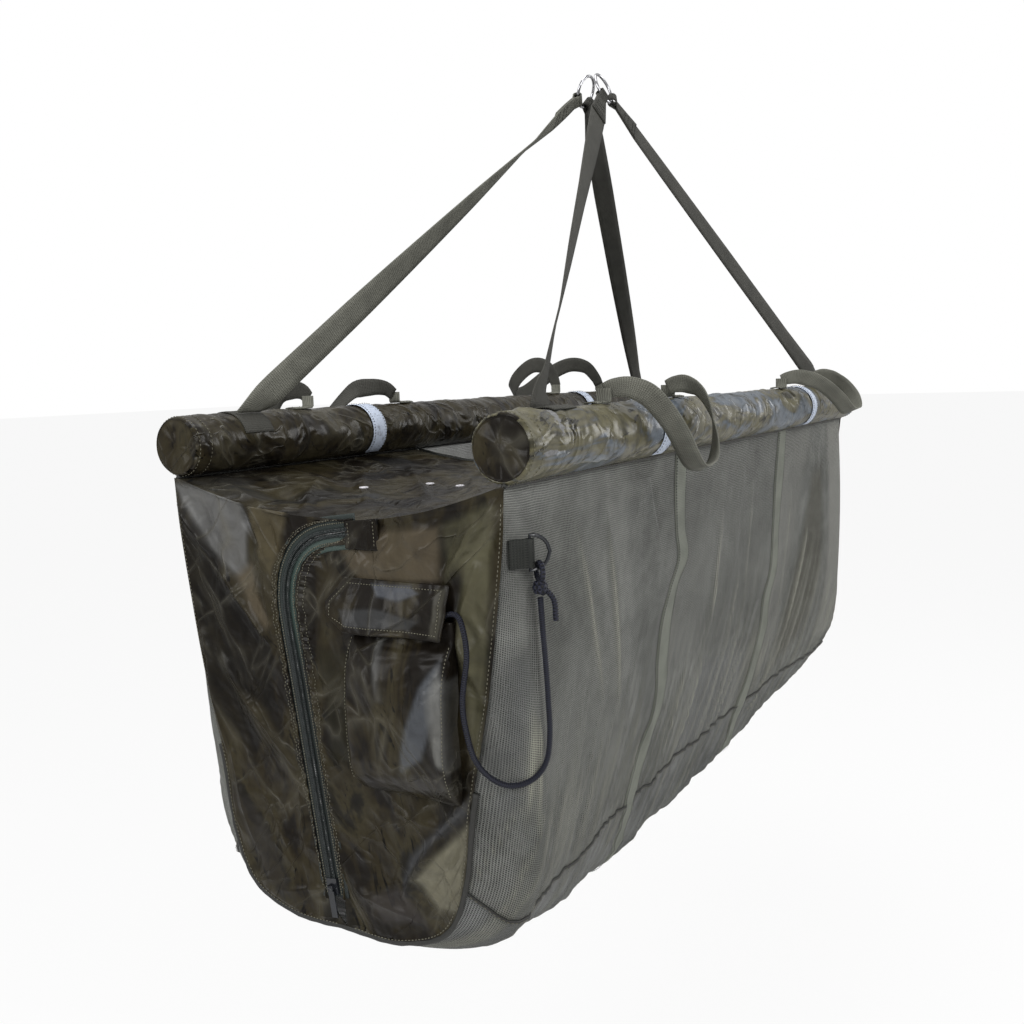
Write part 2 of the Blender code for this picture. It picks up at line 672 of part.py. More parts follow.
def make_bag():
    perimeter = float(np.sum(np.linalg.norm(np.diff(section(0.0), axis=0), axis=1)))
    half_seam = GAP / perimeter
    spans = (("mesh_wall_near", 0.0, SEAM_SHARE - half_seam, WALL_COLUMNS),
             ("mesh_bottom", SEAM_SHARE + half_seam, 1 - SEAM_SHARE - half_seam,
              FLOOR_COLUMNS),
             ("mesh_wall_far", 1 - SEAM_SHARE + half_seam, 1.0, WALL_COLUMNS))
    knots = []
    for name, start, stop, across in spans:
        bag_sheet(name, start, stop, across, NET)
        knots += list(np.linspace(start, stop, across + 1))
    for share, end_name in zip(TAPE_PLACES_SHARES, ENDS):
        middle = share * HALF_LENGTH

        def place(u, v):
            x = middle + TAPE_WIDTH * (u - 0.5)
            s = knots[round(v * (len(knots) - 1))]
            return bag_point(x, s) + bag_normal(x, s) * (FABRIC + SEAT)
        sheet(f"webbing_tape_{end_name}", place, 1, len(knots) - 1, TRIM, -1, STRAPPING)


def top_edge(y, sag):
    return BAG_TOP - sag * (1 - (y / HALF_SPACING) ** 2)


def make_hood(end_name):
    end = ENDS[end_name]

    def sag_at(v):
        return PANEL_SAG + (MOUTH_SAG - PANEL_SAG) * v

    def place(u, v):
        y = (HALF_SPACING - HOOD_INSET) * (2 * u - 1)
        x = HALF_LENGTH - GAP - (HOOD_LENGTH - GAP) * v
        return Vector((end * x, end * y, top_edge(y, sag_at(v)) - SEAT))
    sheet(f"hood_{end_name}", place, 12, 4, FABRIC, -1, COATED_CLOTH)

    def hem(u, v):
        y = HEM_HALF_WIDTH * (2 * u - 1)
        z = top_edge(y, MOUTH_SAG) - HEM_DROP + HEM_HEIGHT * (0.5 - v)
        return Vector((end * (MOUTH_PLACE - GAP), y, z))
    sheet(f"hood_hem_{end_name}", hem, 12, 1, WEBBING, end, STRAPPING)


# End panels and zip

def zip_knots():
    hook = [(ZIP_TOP_SIDE - a * ZIP_HOOK_WIDTH, -HANG_DROP - ZIP_TOP + b * ZIP_HOOK_HEIGHT)
            for a, b in ZIP_HOOK_SHARES]
    run = [(ZIP_TOP_SIDE + (ZIP_BOTTOM_SIDE - ZIP_TOP_SIDE) * t,
            -HANG_DROP - ZIP_TOP - (ZIP_BOTTOM - ZIP_TOP) * t) for t in np.linspace(0, 1, 6)]
    return spline_through(hook + run, 41)


def zip_frame(v):
    """The zip's middle line at v, from its top end down, and its direction towards the far side."""
    line = ZIP_LINE
    place = v * (len(line) - 1)
    low = min(int(place), len(line) - 2)
    step = line[low + 1] - line[low]
    point = line[low] + step * (place - low)
    before = line[max(low - 1, 0)] if place - low < 0.5 else line[low]
    after = line[min(low + 1, len(line) - 1)]
    run = after - before
    run = run / np.linalg.norm(run)
    return point, np.array([-run[1], run[0]])


def panel_outline():
    knots = [(-a * HALF_SPACING, BAG_TOP - b * END_PANEL_DEPTH) for a, b in PANEL_SHARES]
    knots += [(-y, z) for y, z in reversed(knots[:-1])]
    line = spline_through(knots, 65)
    grown = []
    for y, z in line:
        share = (BAG_TOP - z) / END_PANEL_DEPTH
        grown.append((y * (1 + PANEL_OVERLAP / HALF_SPACING), z - GAP - PANEL_OVERLAP * share))
    return grown


ZIP_LINE = zip_knots()


def make_panels():
    outline = panel_outline()
    frames = [zip_frame(v) for v in np.linspace(0, 1, 41)]
    half = ZIP_OPENING_WIDTH / 2
    last, across = frames[-1]
    floor = BAG_TOP - END_PANEL_DEPTH - PANEL_OVERLAP
    rest = (floor - last[1]) / (frames[-1][0] - frames[-2][0])[1] * (frames[-1][0] - frames[-2][0])
    near_edge = [p - n * half for p, n in frames] + [last + rest - across * half]
    far_edge = [p + n * half for p, n in frames] + [last + rest + across * half]
    far_edge = [p for p in far_edge if p[1] < top_edge(p[0], PANEL_SAG) - GAP * 2]
    start = frames[0][0][0] - GAP * 10

    def top_line(first, second):
        return [(y, top_edge(y, PANEL_SAG) - GAP) for y in np.linspace(first, second, 9)]

    corner = outline[-1][0]
    near = [p for p in outline if p[0] < near_edge[-1][0] - GAP]
    near += [tuple(p) for p in reversed(near_edge)]
    near += top_line(start, -corner)[:-1]
    far = [p for p in outline if p[0] > far_edge[-1][0] + GAP]
    far += top_line(corner, far_edge[0][0])[1:]
    far += [tuple(p) for p in far_edge]
    whole = outline + top_line(corner, -corner)[1:-1]
    for name, end, shape in (("end_panel_zip_near", -1, near), ("end_panel_zip_far", -1, far),
                             ("end_panel_plain", 1, whole)):
        placing = axes(Vector((0, 1, 0)), Vector((0, 0, 1)), X_AXIS,
                       Vector((end * (PANEL_BACK + FABRIC / 2), 0, 0)))
        flat_plate(name, shape, FABRIC, placing, COATED_CLOTH)


def zip_strip(name, side, inner, outer, low, wall, material):
    """A strip along the zip, between two distances to one side of its middle line."""
    def place(u, v):
        point, across = zip_frame(v)
        reach = inner + (outer - inner) * (u if side < 0 else 1 - u)
        roof = top_edge(point[0], PANEL_SAG) - FABRIC - SEAT * 3
        while reach > inner and point[1] + side * across[1] * reach > roof:
            reach -= GAP
        y, z = point + side * across * reach
        return Vector((-HALF_LENGTH - low, y, z))
    return sheet(name, place, 2 if outer > ZIP_TAPE_WIDTH else 1, ZIP_ROWS, wall, -1, material)


def make_zip():
    coil_out = COIL_HALF_SPACE + COIL_WIDTH
    tape_out = COIL_HALF_SPACE + ZIP_TAPE_WIDTH
    for name, side in SIDES.items():
        zip_strip(f"zip_tape_{name}", side, COIL_HALF_SPACE, tape_out, -ZIP_TAPE_WALL, ZIP_TAPE_WALL,
                  ZIP_CLOTH)
        zip_strip(f"zip_coil_{name}", side, COIL_HALF_SPACE, coil_out, GAP, COIL_HEIGHT, COIL_PLASTIC)
    bottom = Vector((-HALF_LENGTH, ZIP_BOTTOM_SIDE, -HANG_DROP - ZIP_BOTTOM))
    run = Vector((0, ZIP_TOP_SIDE - ZIP_BOTTOM_SIDE, ZIP_BOTTOM - ZIP_TOP)).normalized()
    outward = -X_AXIS
    placing = axes(run, outward.cross(run), outward, bottom + run * SLIDER_REST)
    coil_top = GAP + COIL_HEIGHT
    front = coil_top + GAP
    face = front + SLIDER_WALL
    back = -ZIP_TAPE_WALL - GAP
    long, wide = SLIDER_LENGTH / 2, SLIDER_WIDTH / 2
    slider = box("zip_slider", (-long, -wide, front), (long, wide, face), placing, BLACK_METAL)
    pin = face + PIN_HEIGHT
    ear_out = KNUCKLE_WIDTH / 2 + GAP + EAR_WALL
    joined = [box("slider_back", (-long, -wide, back - SLIDER_WALL), (long, wide, back), placing,
                  BLACK_METAL),
              box("slider_wedge", (long - WEDGE_LENGTH - GAP, -WEDGE_WALL / 2, back - GAP),
                  (long - GAP, WEDGE_WALL / 2, front + GAP), placing, BLACK_METAL),
              cylinder("slider_pin", PIN_RADIUS, 2 * ear_out - GAP, 12,
                       placing @ Matrix.Translation((0, 0, pin)) @ Matrix.Rotation(math.pi / 2, 4, "X"),
                       BLACK_METAL)]
    for hand in (-1, 1):
        flange = sorted((hand * (wide - FLANGE_WALL), hand * (wide - GAP / 2)))
        ear = sorted((hand * (ear_out - EAR_WALL), hand * ear_out))
        joined.append(box("slider_flange", (-long + GAP, flange[0], GAP * 2), (long - GAP, flange[1],
                          front + GAP), placing, BLACK_METAL))
        joined.append(box("slider_ear", (-EAR_LENGTH / 2, ear[0], face - GAP),
                          (EAR_LENGTH / 2, ear[1], pin + KNUCKLE_RADIUS - GAP), placing, BLACK_METAL))
    for piece in joined:
        cut_or_join(slider, piece, "UNION")
    make_pull(placing @ Matrix.Translation((0, 0, pin)))


def make_pull(placing):
    sideways = placing @ Matrix.Rotation(math.pi / 2, 4, "X")
    pull = box("zip_pull", (-PULL_LENGTH, -PULL_WIDTH / 2, -PULL_WALL / 2),
               (-PULL_NECK, PULL_WIDTH / 2, PULL_WALL / 2), placing, BLACK_METAL)
    neck = box("pull_neck", (-PULL_NECK - GAP, -KNUCKLE_WIDTH / 2, -PULL_WALL / 2 + GAP / 4),
               (0, KNUCKLE_WIDTH / 2, PULL_WALL / 2 - GAP / 4), placing, BLACK_METAL)
    knuckle = cylinder("pull_knuckle", KNUCKLE_RADIUS, KNUCKLE_WIDTH - GAP / 10, 16, sideways, BLACK_METAL)
    bore = cylinder("pull_bore", PIN_RADIUS + GAP, KNUCKLE_WIDTH * 2, 12, sideways, BLACK_METAL)
    cut_or_join(pull, neck, "UNION")
    cut_or_join(pull, knuckle, "UNION")
    cut_or_join(pull, bore, "DIFFERENCE")


# Pocket

def make_pocket():
    profile = spline_through([(-HANG_DROP - z, depth) for z, depth in POCKET_PROFILE], POCKET_ROWS + 1)
    wrap_line = spline_through(POCKET_WRAP_SHARES, POCKET_COLUMNS + 1)

    def place(u, v):
        z, depth = profile[round(v * POCKET_ROWS)]
        across, out = wrap_line[round(u * POCKET_COLUMNS)]
        y = POCKET_LEFT + (POCKET_RIGHT - POCKET_LEFT) * across
        return Vector((-PANEL_FACE - GAP - depth * out, y, z))
    sheet("pocket_body", place, POCKET_COLUMNS, POCKET_ROWS, FABRIC, -1, COATED_CLOTH)
    width, drop = FLAP_RIGHT - FLAP_LEFT, FLAP_DROP
    outline = [(FLAP_LEFT + a * width, -b * drop) for a, b in FLAP_SHARES]
    hang = Vector((-math.sin(FLAP_TILT), 0, -math.cos(FLAP_TILT)))
    hinge = Vector((-PANEL_FACE - GAP * 2 - FLAP_WALL / 2, 0, -HANG_DROP - POCKET_FLAP_TOP))
    flat_plate("pocket_flap", outline, FLAP_WALL, axes(Vector((0, 1, 0)), -hang,
               Vector((0, 1, 0)).cross(-hang), hinge), COATED_CLOTH)


# Ring, knot and cord

def make_d_ring():
    root = Vector((D_TAB_ROOT[0] - HALF_LENGTH, D_TAB_ROOT[1], -HANG_DROP - D_TAB_DEPTH))
    tip = Vector((D_TAB_TIP[0] - HALF_LENGTH, D_TAB_TIP[1], -HANG_DROP - D_TAB_DEPTH))
    run = (tip - root).normalized()
    lift = run.cross(Vector((0, 0, 1)))
    reach = (tip - root).length
    neck = D_EYE_RADIUS * EYE_NECK_SHARE
    path = [(-reach, -LAYER), (-(reach + neck) / 2, -LAYER), (-neck, -LAYER)] + eye_turn(D_EYE_RADIUS)
    path += [(-neck, LAYER), (-(reach + neck) / 2, LAYER), (-reach, LAYER)]
    stations = [(tip + run * s + lift * n, Vector((0, 0, 1)), D_TAB_WIDTH / 2) for s, n in path]
    ribbon("d_ring_tab", stations, WEBBING, STRAPPING)
    heading = Vector((math.cos(D_HEADING), math.sin(D_HEADING), 0))
    arc = spline_through([(a * D_DEPTH, b * D_HALF_HEIGHT) for a, b in D_SHARES], 8)
    shape = [(a, b) for a, b in arc] + [(a, -b) for a, b in reversed(arc[:-1])]
    line = [heading * a + Vector((0, 0, b)) for a, b in shape]
    ring = tube("d_ring", line, D_WIRE_RADIUS, 2, BLACK_METAL)
    ring.data.splines[0].use_cyclic_u = True
    ring.matrix_world = Matrix.Translation(tip)
    return tip, heading, ring


def make_cord(tip, heading, ring):
    """The knot through the ring, the cord down to the pocket, and the rest of it put away."""
    held = tip + heading * D_DEPTH * KNOT_PLACE_SHARE - Vector((0, 0, D_HALF_HEIGHT * 0.92))
    eye = held - Vector((0, 0, KNOT_LOOP_RADIUS - CORD_RADIUS - D_WIRE_RADIUS - SEAT))
    lump = eye - Vector((0, 0, KNOT_LOOP_RADIUS + KNOT_HEIGHT / 2 - CORD_RADIUS))
    mesh = bmesh.new()
    bmesh.ops.create_uvsphere(mesh, u_segments=16, v_segments=10, radius=1)
    bmesh.ops.scale(mesh, vec=(KNOT_RADIUS, KNOT_RADIUS, KNOT_HEIGHT / 2), verts=mesh.verts)
    knot = from_bmesh(mesh, "cord_knot", CORD_YARN)
    knot.matrix_world = Matrix.Translation(lump)
    bpy.ops.mesh.primitive_torus_add(major_radius=KNOT_LOOP_RADIUS, minor_radius=CORD_RADIUS,
                                     major_segments=20, minor_segments=8)
    loop = keep(bpy.context.object, "knot_loop", CORD_YARN, CUTTERS)
    side = heading.cross(Vector((0, 0, 1)))
    loop.matrix_world = axes(side, Vector((0, 0, 1)), side.cross(Vector((0, 0, 1))), eye)
    cut_or_join(knot, loop, "UNION")
    tail_top = lump + side * KNOT_RADIUS * 0.3 + heading * KNOT_RADIUS * 0.35
    tail_end = tail_top + heading * TAIL_LENGTH * 0.35 - Vector((0, 0, TAIL_LENGTH))
    bend = tail_top + heading * TAIL_LENGTH * 0.3 - Vector((0, 0, TAIL_LENGTH * 0.4))
    tail = as_mesh(tube("knot_tail", [Vector(p) for p in spline_through([tail_top, bend, tail_end], 6)],
                        CORD_RADIUS, 1, CORD_YARN))
    cut_or_join(knot, tail, "UNION")
    pivot("cord_ring_pivot", tip, [ring, knot])
    foot = lump - Vector((0, 0, KNOT_HEIGHT / 2 + GAP * 2))
    route = [(x - HALF_LENGTH, y, z - HANG_DROP) for x, y, z in CORD_ROUTE] + [tuple(foot)]
    rough = spline_through(route, 200)
    length = float(np.sum(np.linalg.norm(np.diff(rough, axis=0), axis=1)))
    tube("retention_cord", spline_through(route, round(length / CORD_STEP) + 1), CORD_RADIUS, 1, CORD_YARN)
    print(f"retention cord: {length:.3f} m in view")
    hank(route[0])


def hank(start):
    """The plain outer shape of the loops inside the pocket."""
    radius = HANK_BEND + CORD_RADIUS
    turns = np.linspace(0, math.pi, 13)
    top = [(radius * math.cos(a), HANK_RUN / 2 + radius * math.sin(a)) for a in turns]
    outline = top + [(-a, -b) for a, b in top]
    middle = Vector((start[0], HANK_MIDDLE[0], -HANG_DROP + HANK_MIDDLE[1]))
    flat_plate("cord_hank", outline, HANK_LOOPS * HANK_PITCH, axes(X_AXIS, Vector((0, 0, 1)),
               Vector((0, -1, 0)), middle), CORD_YARN)


make_floats()
make_suspension()
for end_name in ENDS:
    make_hood(end_name)
    for side_name in SIDES:
        make_handle(end_name, side_name)
make_bag()
make_panels()
make_zip()
make_pocket()
make_cord(*make_d_ring())
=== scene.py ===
"""The looks of a floating weigh sling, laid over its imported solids.

Metres, +Z up, X along the tubes, the zip end at -X and the near side at -Y. The scale's hook holds
both rings at the origin, and the tubes hang DROP below it. Tables of folds and patches are in
millimetres, give heights from the middle of the tubes, and points of the end cloth as y, height.
"""

from math import atan2, copysign, cos, exp, hypot, pi, radians, sin

import bmesh
import bpy
import numpy as np
from mathutils import Matrix, Vector, noise


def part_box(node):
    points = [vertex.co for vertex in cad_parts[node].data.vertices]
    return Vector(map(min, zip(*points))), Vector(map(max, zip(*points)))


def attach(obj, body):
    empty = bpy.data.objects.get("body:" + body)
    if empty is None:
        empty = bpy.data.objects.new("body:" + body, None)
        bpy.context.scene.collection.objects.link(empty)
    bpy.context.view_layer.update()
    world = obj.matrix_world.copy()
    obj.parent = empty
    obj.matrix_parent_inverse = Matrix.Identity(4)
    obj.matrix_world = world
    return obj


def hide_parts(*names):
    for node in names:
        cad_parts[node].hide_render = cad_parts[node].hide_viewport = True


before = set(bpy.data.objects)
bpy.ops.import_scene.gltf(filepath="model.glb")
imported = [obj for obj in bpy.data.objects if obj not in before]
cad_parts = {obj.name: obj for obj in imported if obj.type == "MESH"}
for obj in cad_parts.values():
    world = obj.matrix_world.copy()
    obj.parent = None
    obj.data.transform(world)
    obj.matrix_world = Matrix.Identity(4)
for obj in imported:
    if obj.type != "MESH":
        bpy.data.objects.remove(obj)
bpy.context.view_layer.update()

# The creases come from vector noise, which follows the clock unless it is seeded
noise.seed_set(1)

# Sizes that the solids were made with
DROP = 0.457
HALF_LENGTH = 0.600
HALF_SPACING = 0.190
TUBE_RADIUS = 0.0311
BAG_TOP = -0.4884
END_DEPTH = 0.455
MIDDLE_DEPTH = 0.550
PANEL_DEPTH = 0.430
CORNER_RUN = 0.045
SEAM = 0.345
PANEL_SAG = 0.036
MOUTH_SAG = 0.022
MOUTH = 0.190
STRAP_FOOT_Y = 0.17576
STRAP_FOOT_Z = -0.42646
HINGE_Z = -0.4151
FLAP_TOP = -0.5755
WEBBING = 0.0015
LAYER = 0.0009
UP = Vector((0, 0, 1))
ALONG = Vector((1, 0, 0))
SIDES = {"near": -1, "far": 1}
ENDS = {"zip_end": -1, "plain_end": 1}


def metres(table):
    """A table or number that was given in millimetres."""
    return table / 1000 if isinstance(table, (int, float)) else tuple(metres(part) for part in table)


def clamp(share):
    return min(max(share, 0), 1)


def patch(colour, strength, *run):
    """A patch of painted sheen, shade and tint on cloth, with its outline as a run of millimetres."""
    return list(zip(metres(run[::2]), metres(run[1::2]))), colour, strength


# Shader maths

class Field:
    """A socket of a material. Sums and products of fields add the nodes that work them out."""

    def __init__(self, tree, socket=None):
        self.tree, self.socket = tree, socket

    def node(self, kind, settings=(), inputs=(), out=0):
        made = self.tree.nodes.new("ShaderNode" + kind)
        for key, value in dict(settings).items():
            if key == "stops":
                ramp = made.color_ramp.elements
                while len(ramp) < len(value):
                    ramp.new(0.5)
                for stop, (place, colour) in zip(ramp, value):
                    stop.position, stop.color = place, (*colour, 1.0)
            else:
                setattr(made, key, value)
        for key, value in dict(inputs).items():
            if isinstance(value, Field):
                self.tree.links.new(value.socket, made.inputs[key])
            else:
                made.inputs[key].default_value = value
        return Field(self.tree, made.outputs[out])

    def maths(self, operation, *others):
        return self.node("Math", {"operation": operation}, enumerate((self, *others)))

    def __add__(self, other):
        return self.maths("ADD", other)

    def __sub__(self, other):
        return self.maths("SUBTRACT", other)

    def __rsub__(self, other):
        return self.node("Math", {"operation": "SUBTRACT"}, {0: other, 1: self})

    def __mul__(self, other):
        return self.maths("MULTIPLY", other)

    __radd__, __rmul__ = __add__, __mul__

    def size(self):
        return self.maths("ABSOLUTE")

    def wave(self, pitch):
        """A sine along a length, once for every pitch."""
        return (self * (2 * pi / pitch)).maths("SINE")

    def step(self, low, high):
        """0 at low, 1 at high and smooth between them, either way round."""
        return self.node("MapRange", {"interpolation_type": "SMOOTHSTEP"},
                         {"Value": self, "From Min": low, "From Max": high})

    def cloud(self, scale, detail=2.0, roughness=0.5, distortion=0.0):
        """Cloudy values from 0 to 1 over this place."""
        return self.node("TexNoise", {}, {"Vector": self, "Scale": scale, "Detail": detail,
                                          "Roughness": roughness, "Distortion": distortion})

    def moved(self, location=(0, 0, 0), rotation=(0, 0, 0), scale=(1, 1, 1)):
        return self.node("Mapping", {}, {"Vector": self, "Location": location,
                                         "Rotation": rotation, "Scale": scale})

    def ramp(self, stops):
        return self.node("ValToRGB", {"stops": stops}, {"Fac": self})

    def mixed(self, first, second):
        """A colour between two, by this share."""
        return self.node("Mix", {"data_type": "RGBA"}, {0: self, 6: first, 7: second}, 2)

    def bump(self, distance, strength=1.0, under=None):
        inputs = {"Height": self, "Distance": distance, "Strength": strength}
        if under is not None:
            inputs["Normal"] = under
        return self.node("Bump", {}, inputs)

    def parts(self):
        """The X and Y of this place."""
        return (self.node("SeparateXYZ", inputs={"Vector": self}, out=axis) for axis in ("X", "Y"))

    def tone(self, out):
        """The Color of the painted sheen, painted shade and tints on a mesh, or its Alpha, which is how
        much of it shows.
        """
        return self.node("Attribute", {"attribute_name": "tone"}, out=out)


def finish(name, shade, **constants):
    """A Principled material. shade takes the piece's place and weave map and returns what varies."""
    material = bpy.data.materials.new(name)
    material.use_nodes = True
    shader = material.node_tree.nodes["Principled BSDF"]
    for key, value in constants.items():
        shader.inputs[key.replace("_", " ")].default_value = value
    start = Field(material.node_tree)
    place = start.node("TexCoord", out="Object")
    weave = start.node("UVMap", {"uv_map": "weave"})
    for key, value in shade(place, weave).items():
        material.node_tree.links.new(value.socket, shader.inputs[key.replace("_", " ")])
    return material


def rgb(red, green, blue):
    return (red, green, blue, 1.0)


def darker(colour, share):
    return rgb(*(part * share for part in colour[:3]))


# Finishes

BROWN_TONES = ((0.0, (0.005, 0.004, 0.003)), (0.40, (0.009, 0.007, 0.005)),
               (0.48, (0.024, 0.019, 0.010)), (0.56, (0.036, 0.030, 0.016)),
               (0.62, (0.014, 0.012, 0.008)), (0.72, (0.008, 0.007, 0.006)),
               (1.0, (0.036, 0.032, 0.019)))
GOLD_TONES = ((0.0, (0.012, 0.011, 0.008)), (0.37, (0.026, 0.024, 0.015)),
              (0.44, (0.110, 0.100, 0.054)), (0.50, (0.065, 0.060, 0.038)),
              (0.55, (0.075, 0.090, 0.108)), (0.61, (0.120, 0.140, 0.165)),
              (0.67, (0.026, 0.026, 0.022)), (1.0, (0.075, 0.070, 0.042)))


def streaks(place, turn, scale):
    """Thin straight folds that run one way, 1 on their ridges."""
    run = place.node("Mapping", {"vector_type": "TEXTURE"},
                     {"Vector": place, "Rotation": turn, "Scale": (1.7, 1.0, 5.0)})
    flow = run.cloud(scale, 3.0, 0.55, 0.5)
    return (1 - (flow - 0.5).size() * 2).maths("POWER", 34.0)


def coated(name, tones, turn, stretch, scale, gloss, mapped=False, shine=0.13):
    """Thin coated cloth: a generic leaf-like print, painted patches of sheen and shade with some tints,
    fine creases with painted highlights on their ridges, plain weave.
    """
    def shade(place, weave):
        flow = (weave if mapped else place).moved(rotation=turn, scale=stretch)
        print_of = flow.cloud(scale, 4.0, 0.62, 1.6).ramp(tones)
        veins = flow.moved((3.1, 0.7, 1.9), scale=(1.0, 2.6, 1.0)).cloud(scale * 2.3, 5.0, 0.65, 2.4)
        colour = veins.step(0.42, 0.34).mixed(print_of, darker(tones[0][1], 0.7))
        patch_mottle = place.cloud(34.0, 5.0, 0.65, 1.2)
        # Painted sheen, painted shade and a few tints from the mesh's patches, broken up by a cloud
        colour = (place.tone("Alpha") * (0.30 + patch_mottle * 1.15)).mixed(colour, place.tone("Color"))
        folds = streaks(place, (0.75, 0.5, 0.0), 15.0).maths(
            "MAXIMUM", streaks(place, (-0.6, -0.4, 0.3), 12.0))
        # Painted highlights along the fold ridges, where a cloud lets them show
        lit = place.cloud(9.0, 2.0).step(0.42, 0.62)
        ridge_highlight = rgb(*(0.05 + part * 2.2 for part in tones[-1][1]))
        colour = (folds * lit * 0.38).mixed(colour, ridge_highlight)
        rolling = place.cloud(17.0, 2.0, 0.45, 0.9).bump(0.016, 0.8)
        sharp = folds.bump(0.0019, 0.7, rolling)
        grain = place.cloud(900.0, 1.0).bump(0.0002, 0.25, sharp)
        return {"Base_Color": colour, "Roughness": gloss + veins * 0.16, "Normal": grain}
    return finish(name, shade, Specular_IOR_Level=shine)


PANEL_CLOTH = coated("coated_cloth_panel", BROWN_TONES, (0.5, 0, 0), (1, 1, 0.55), 9.0, 0.26)
HOOD_CLOTH = coated("coated_cloth_hood", BROWN_TONES, (0, 0, 0.6), (0.6, 1, 1), 8.0, 0.28)
TUBE_CLOTHS = {
    "near": coated("coated_cloth_near_tube", GOLD_TONES, (0, 0, 0.75), (2.2, 0.8, 1), 6.0, 0.22, True,
                   0.32),
    "far": coated("coated_cloth_far_tube", BROWN_TONES, (0, 0, 0.9), (1, 1, 1), 11.0, 0.22, True, 0.20)}


def strapping(name, light, dark, dullness=0.62):
    """Woven strapping: fine ribs along it and the slant of the weft, on its own map."""
    def shade(place, weave):
        across, along = weave.parts()
        ribs = across.wave(0.0022)
        picks = (along * (2 * pi / 0.0021) + ribs * 1.1).maths("SINE")
        body = (ribs * 0.5 + picks) * 0.33 + 0.5
        worn = place.cloud(40.0, 3.0)
        colour = body.mixed(rgb(*dark), rgb(*light))
        colour = (worn.step(0.35, 0.75) * 0.35).mixed(colour, darker(dark, 0.6))
        return {"Base_Color": colour, "Roughness": dullness + body * 0.15,
                "Normal": body.bump(0.0006, 0.9)}
    return finish(name, shade, Specular_IOR_Level=0.25)


STRAPPING = strapping("webbing_grey_green", (0.235, 0.235, 0.198), (0.085, 0.085, 0.070))
# The same webbing with painted shade, for pieces lying in shade
SHADED_STRAPPING = strapping("webbing_shaded", (0.078, 0.076, 0.066), (0.028, 0.028, 0.023))
DARK_STRAPPING = strapping("webbing_dark", (0.030, 0.032, 0.027), (0.010, 0.011, 0.010), 0.45)
TAPE = strapping("webbing_tape_green", (0.250, 0.262, 0.222), (0.120, 0.127, 0.106))


def netting(name, yarn, hole_shade, cell=0.0024):
    """Fine square net: yarns along and across its own map, open cells painted with shade, and painted
    sheen, shade and pleat highlights from the mesh.
    """
    def shade(place, weave):
        drift = place.cloud(26.0, 2.0) * (cell * 1.2)
        first, second = (((way + drift) * (pi / cell)).maths("SINE").size()
                         for way in weave.parts())
        hole = first.step(0.42, 0.72) * second.step(0.42, 0.72)
        cover = place.tone("Alpha")
        broad, fine = place.cloud(6.0, 3.0), place.cloud(38.0, 3.0, 0.6)
        cloudy = broad.step(0.32, 0.68) * 0.65 + fine.step(0.3, 0.7) * 0.35
        colour = cloudy.mixed(darker(yarn, 1.2), darker(yarn, 0.55))
        # Painted shade: the open cells show a near-black colour for the dark inside of the bag, and let
        # part of the light through
        colour = hole.mixed(colour, rgb(*hole_shade))
        # Painted sheen, shade and pleat highlights from the mesh
        colour = (cover * (1 - hole * 0.6)).mixed(colour, place.tone("Color"))
        return {"Base_Color": colour, "Alpha": 1 - hole * (0.72 - cover * 0.4),
                "Normal": first.maths("MAXIMUM", second).bump(0.0006, -0.7)}
    return finish(name, shade, Roughness=0.8, Specular_IOR_Level=0.2)


NET = netting("net_wall", rgb(0.225, 0.229, 0.212), (0.020, 0.021, 0.020))
NET_BOTTOM = netting("net_bottom", rgb(0.225, 0.230, 0.222), (0.024, 0.025, 0.024))


def plain(name, colour, roughness, grain=60.0, depth=0.0003, **constants):
    """A finish with a little cloudiness in its colour and gloss, and a fine grain."""
    def shade(place, weave):
        worn = place.cloud(grain, 4.0, 0.6)
        return {"Base_Color": worn.step(0.3, 0.8).mixed(rgb(*colour), darker(colour, 0.62)),
                "Roughness": roughness * 0.8 + worn * (roughness * 0.4),
                "Normal": worn.bump(depth, 0.5)}
    return finish(name, shade, **constants)


FOAM = plain("foam", (0.20, 0.20, 0.20), 0.9, 400.0)
CHROME = plain("polished_steel", (0.50, 0.50, 0.52), 0.16, 90.0, 0.00005, Metallic=1.0)
GUNMETAL = plain("black_metal", (0.016, 0.018, 0.022), 0.24, 200.0, 0.0001)
COIL = plain("coil_plastic", (0.030, 0.038, 0.038), 0.25, 200.0)
THREAD = plain("pale_thread", (0.170, 0.160, 0.115), 0.7, 600.0)
DARK_THREAD = plain("dark_thread", (0.016, 0.018, 0.014), 0.6, 600.0)
BINDING = plain("dark_binding", (0.020, 0.020, 0.017), 0.6, 500.0)
EYELET = plain("eyelet_metal", (0.80, 0.78, 0.82), 0.25, 90.0, 0.0001)


def reflective_shade(place, weave):
    across, along = weave.parts()
    cells = (across.wave(0.0016) * along.wave(0.0016)).size()
    scuffs = place.cloud(180.0, 4.0, 0.6)
    colour = scuffs.step(0.50, 0.72).mixed(rgb(0.56, 0.63, 0.76), rgb(0.30, 0.33, 0.40))
    return {"Base_Color": colour, "Roughness": 0.28 + scuffs * 0.3, "Normal": cells.bump(0.0003, 0.6)}


def zip_cloth_shade(place, weave):
    across, along = weave.parts()
    twill = ((across + along) * (2 * pi / 0.0018)).maths("SINE") * 0.5 + 0.5
    # Painted light and shade: where the mesh marks the tape as lit it shows green, elsewhere a
    # near-black painted shade
    green = twill.mixed(rgb(0.014, 0.026, 0.022), rgb(0.060, 0.105, 0.088))
    dark = twill.mixed(rgb(0.003, 0.005, 0.005), rgb(0.016, 0.024, 0.022))
    return {"Base_Color": place.tone("Alpha").mixed(dark, green), "Normal": twill.bump(0.0003, 0.8)}


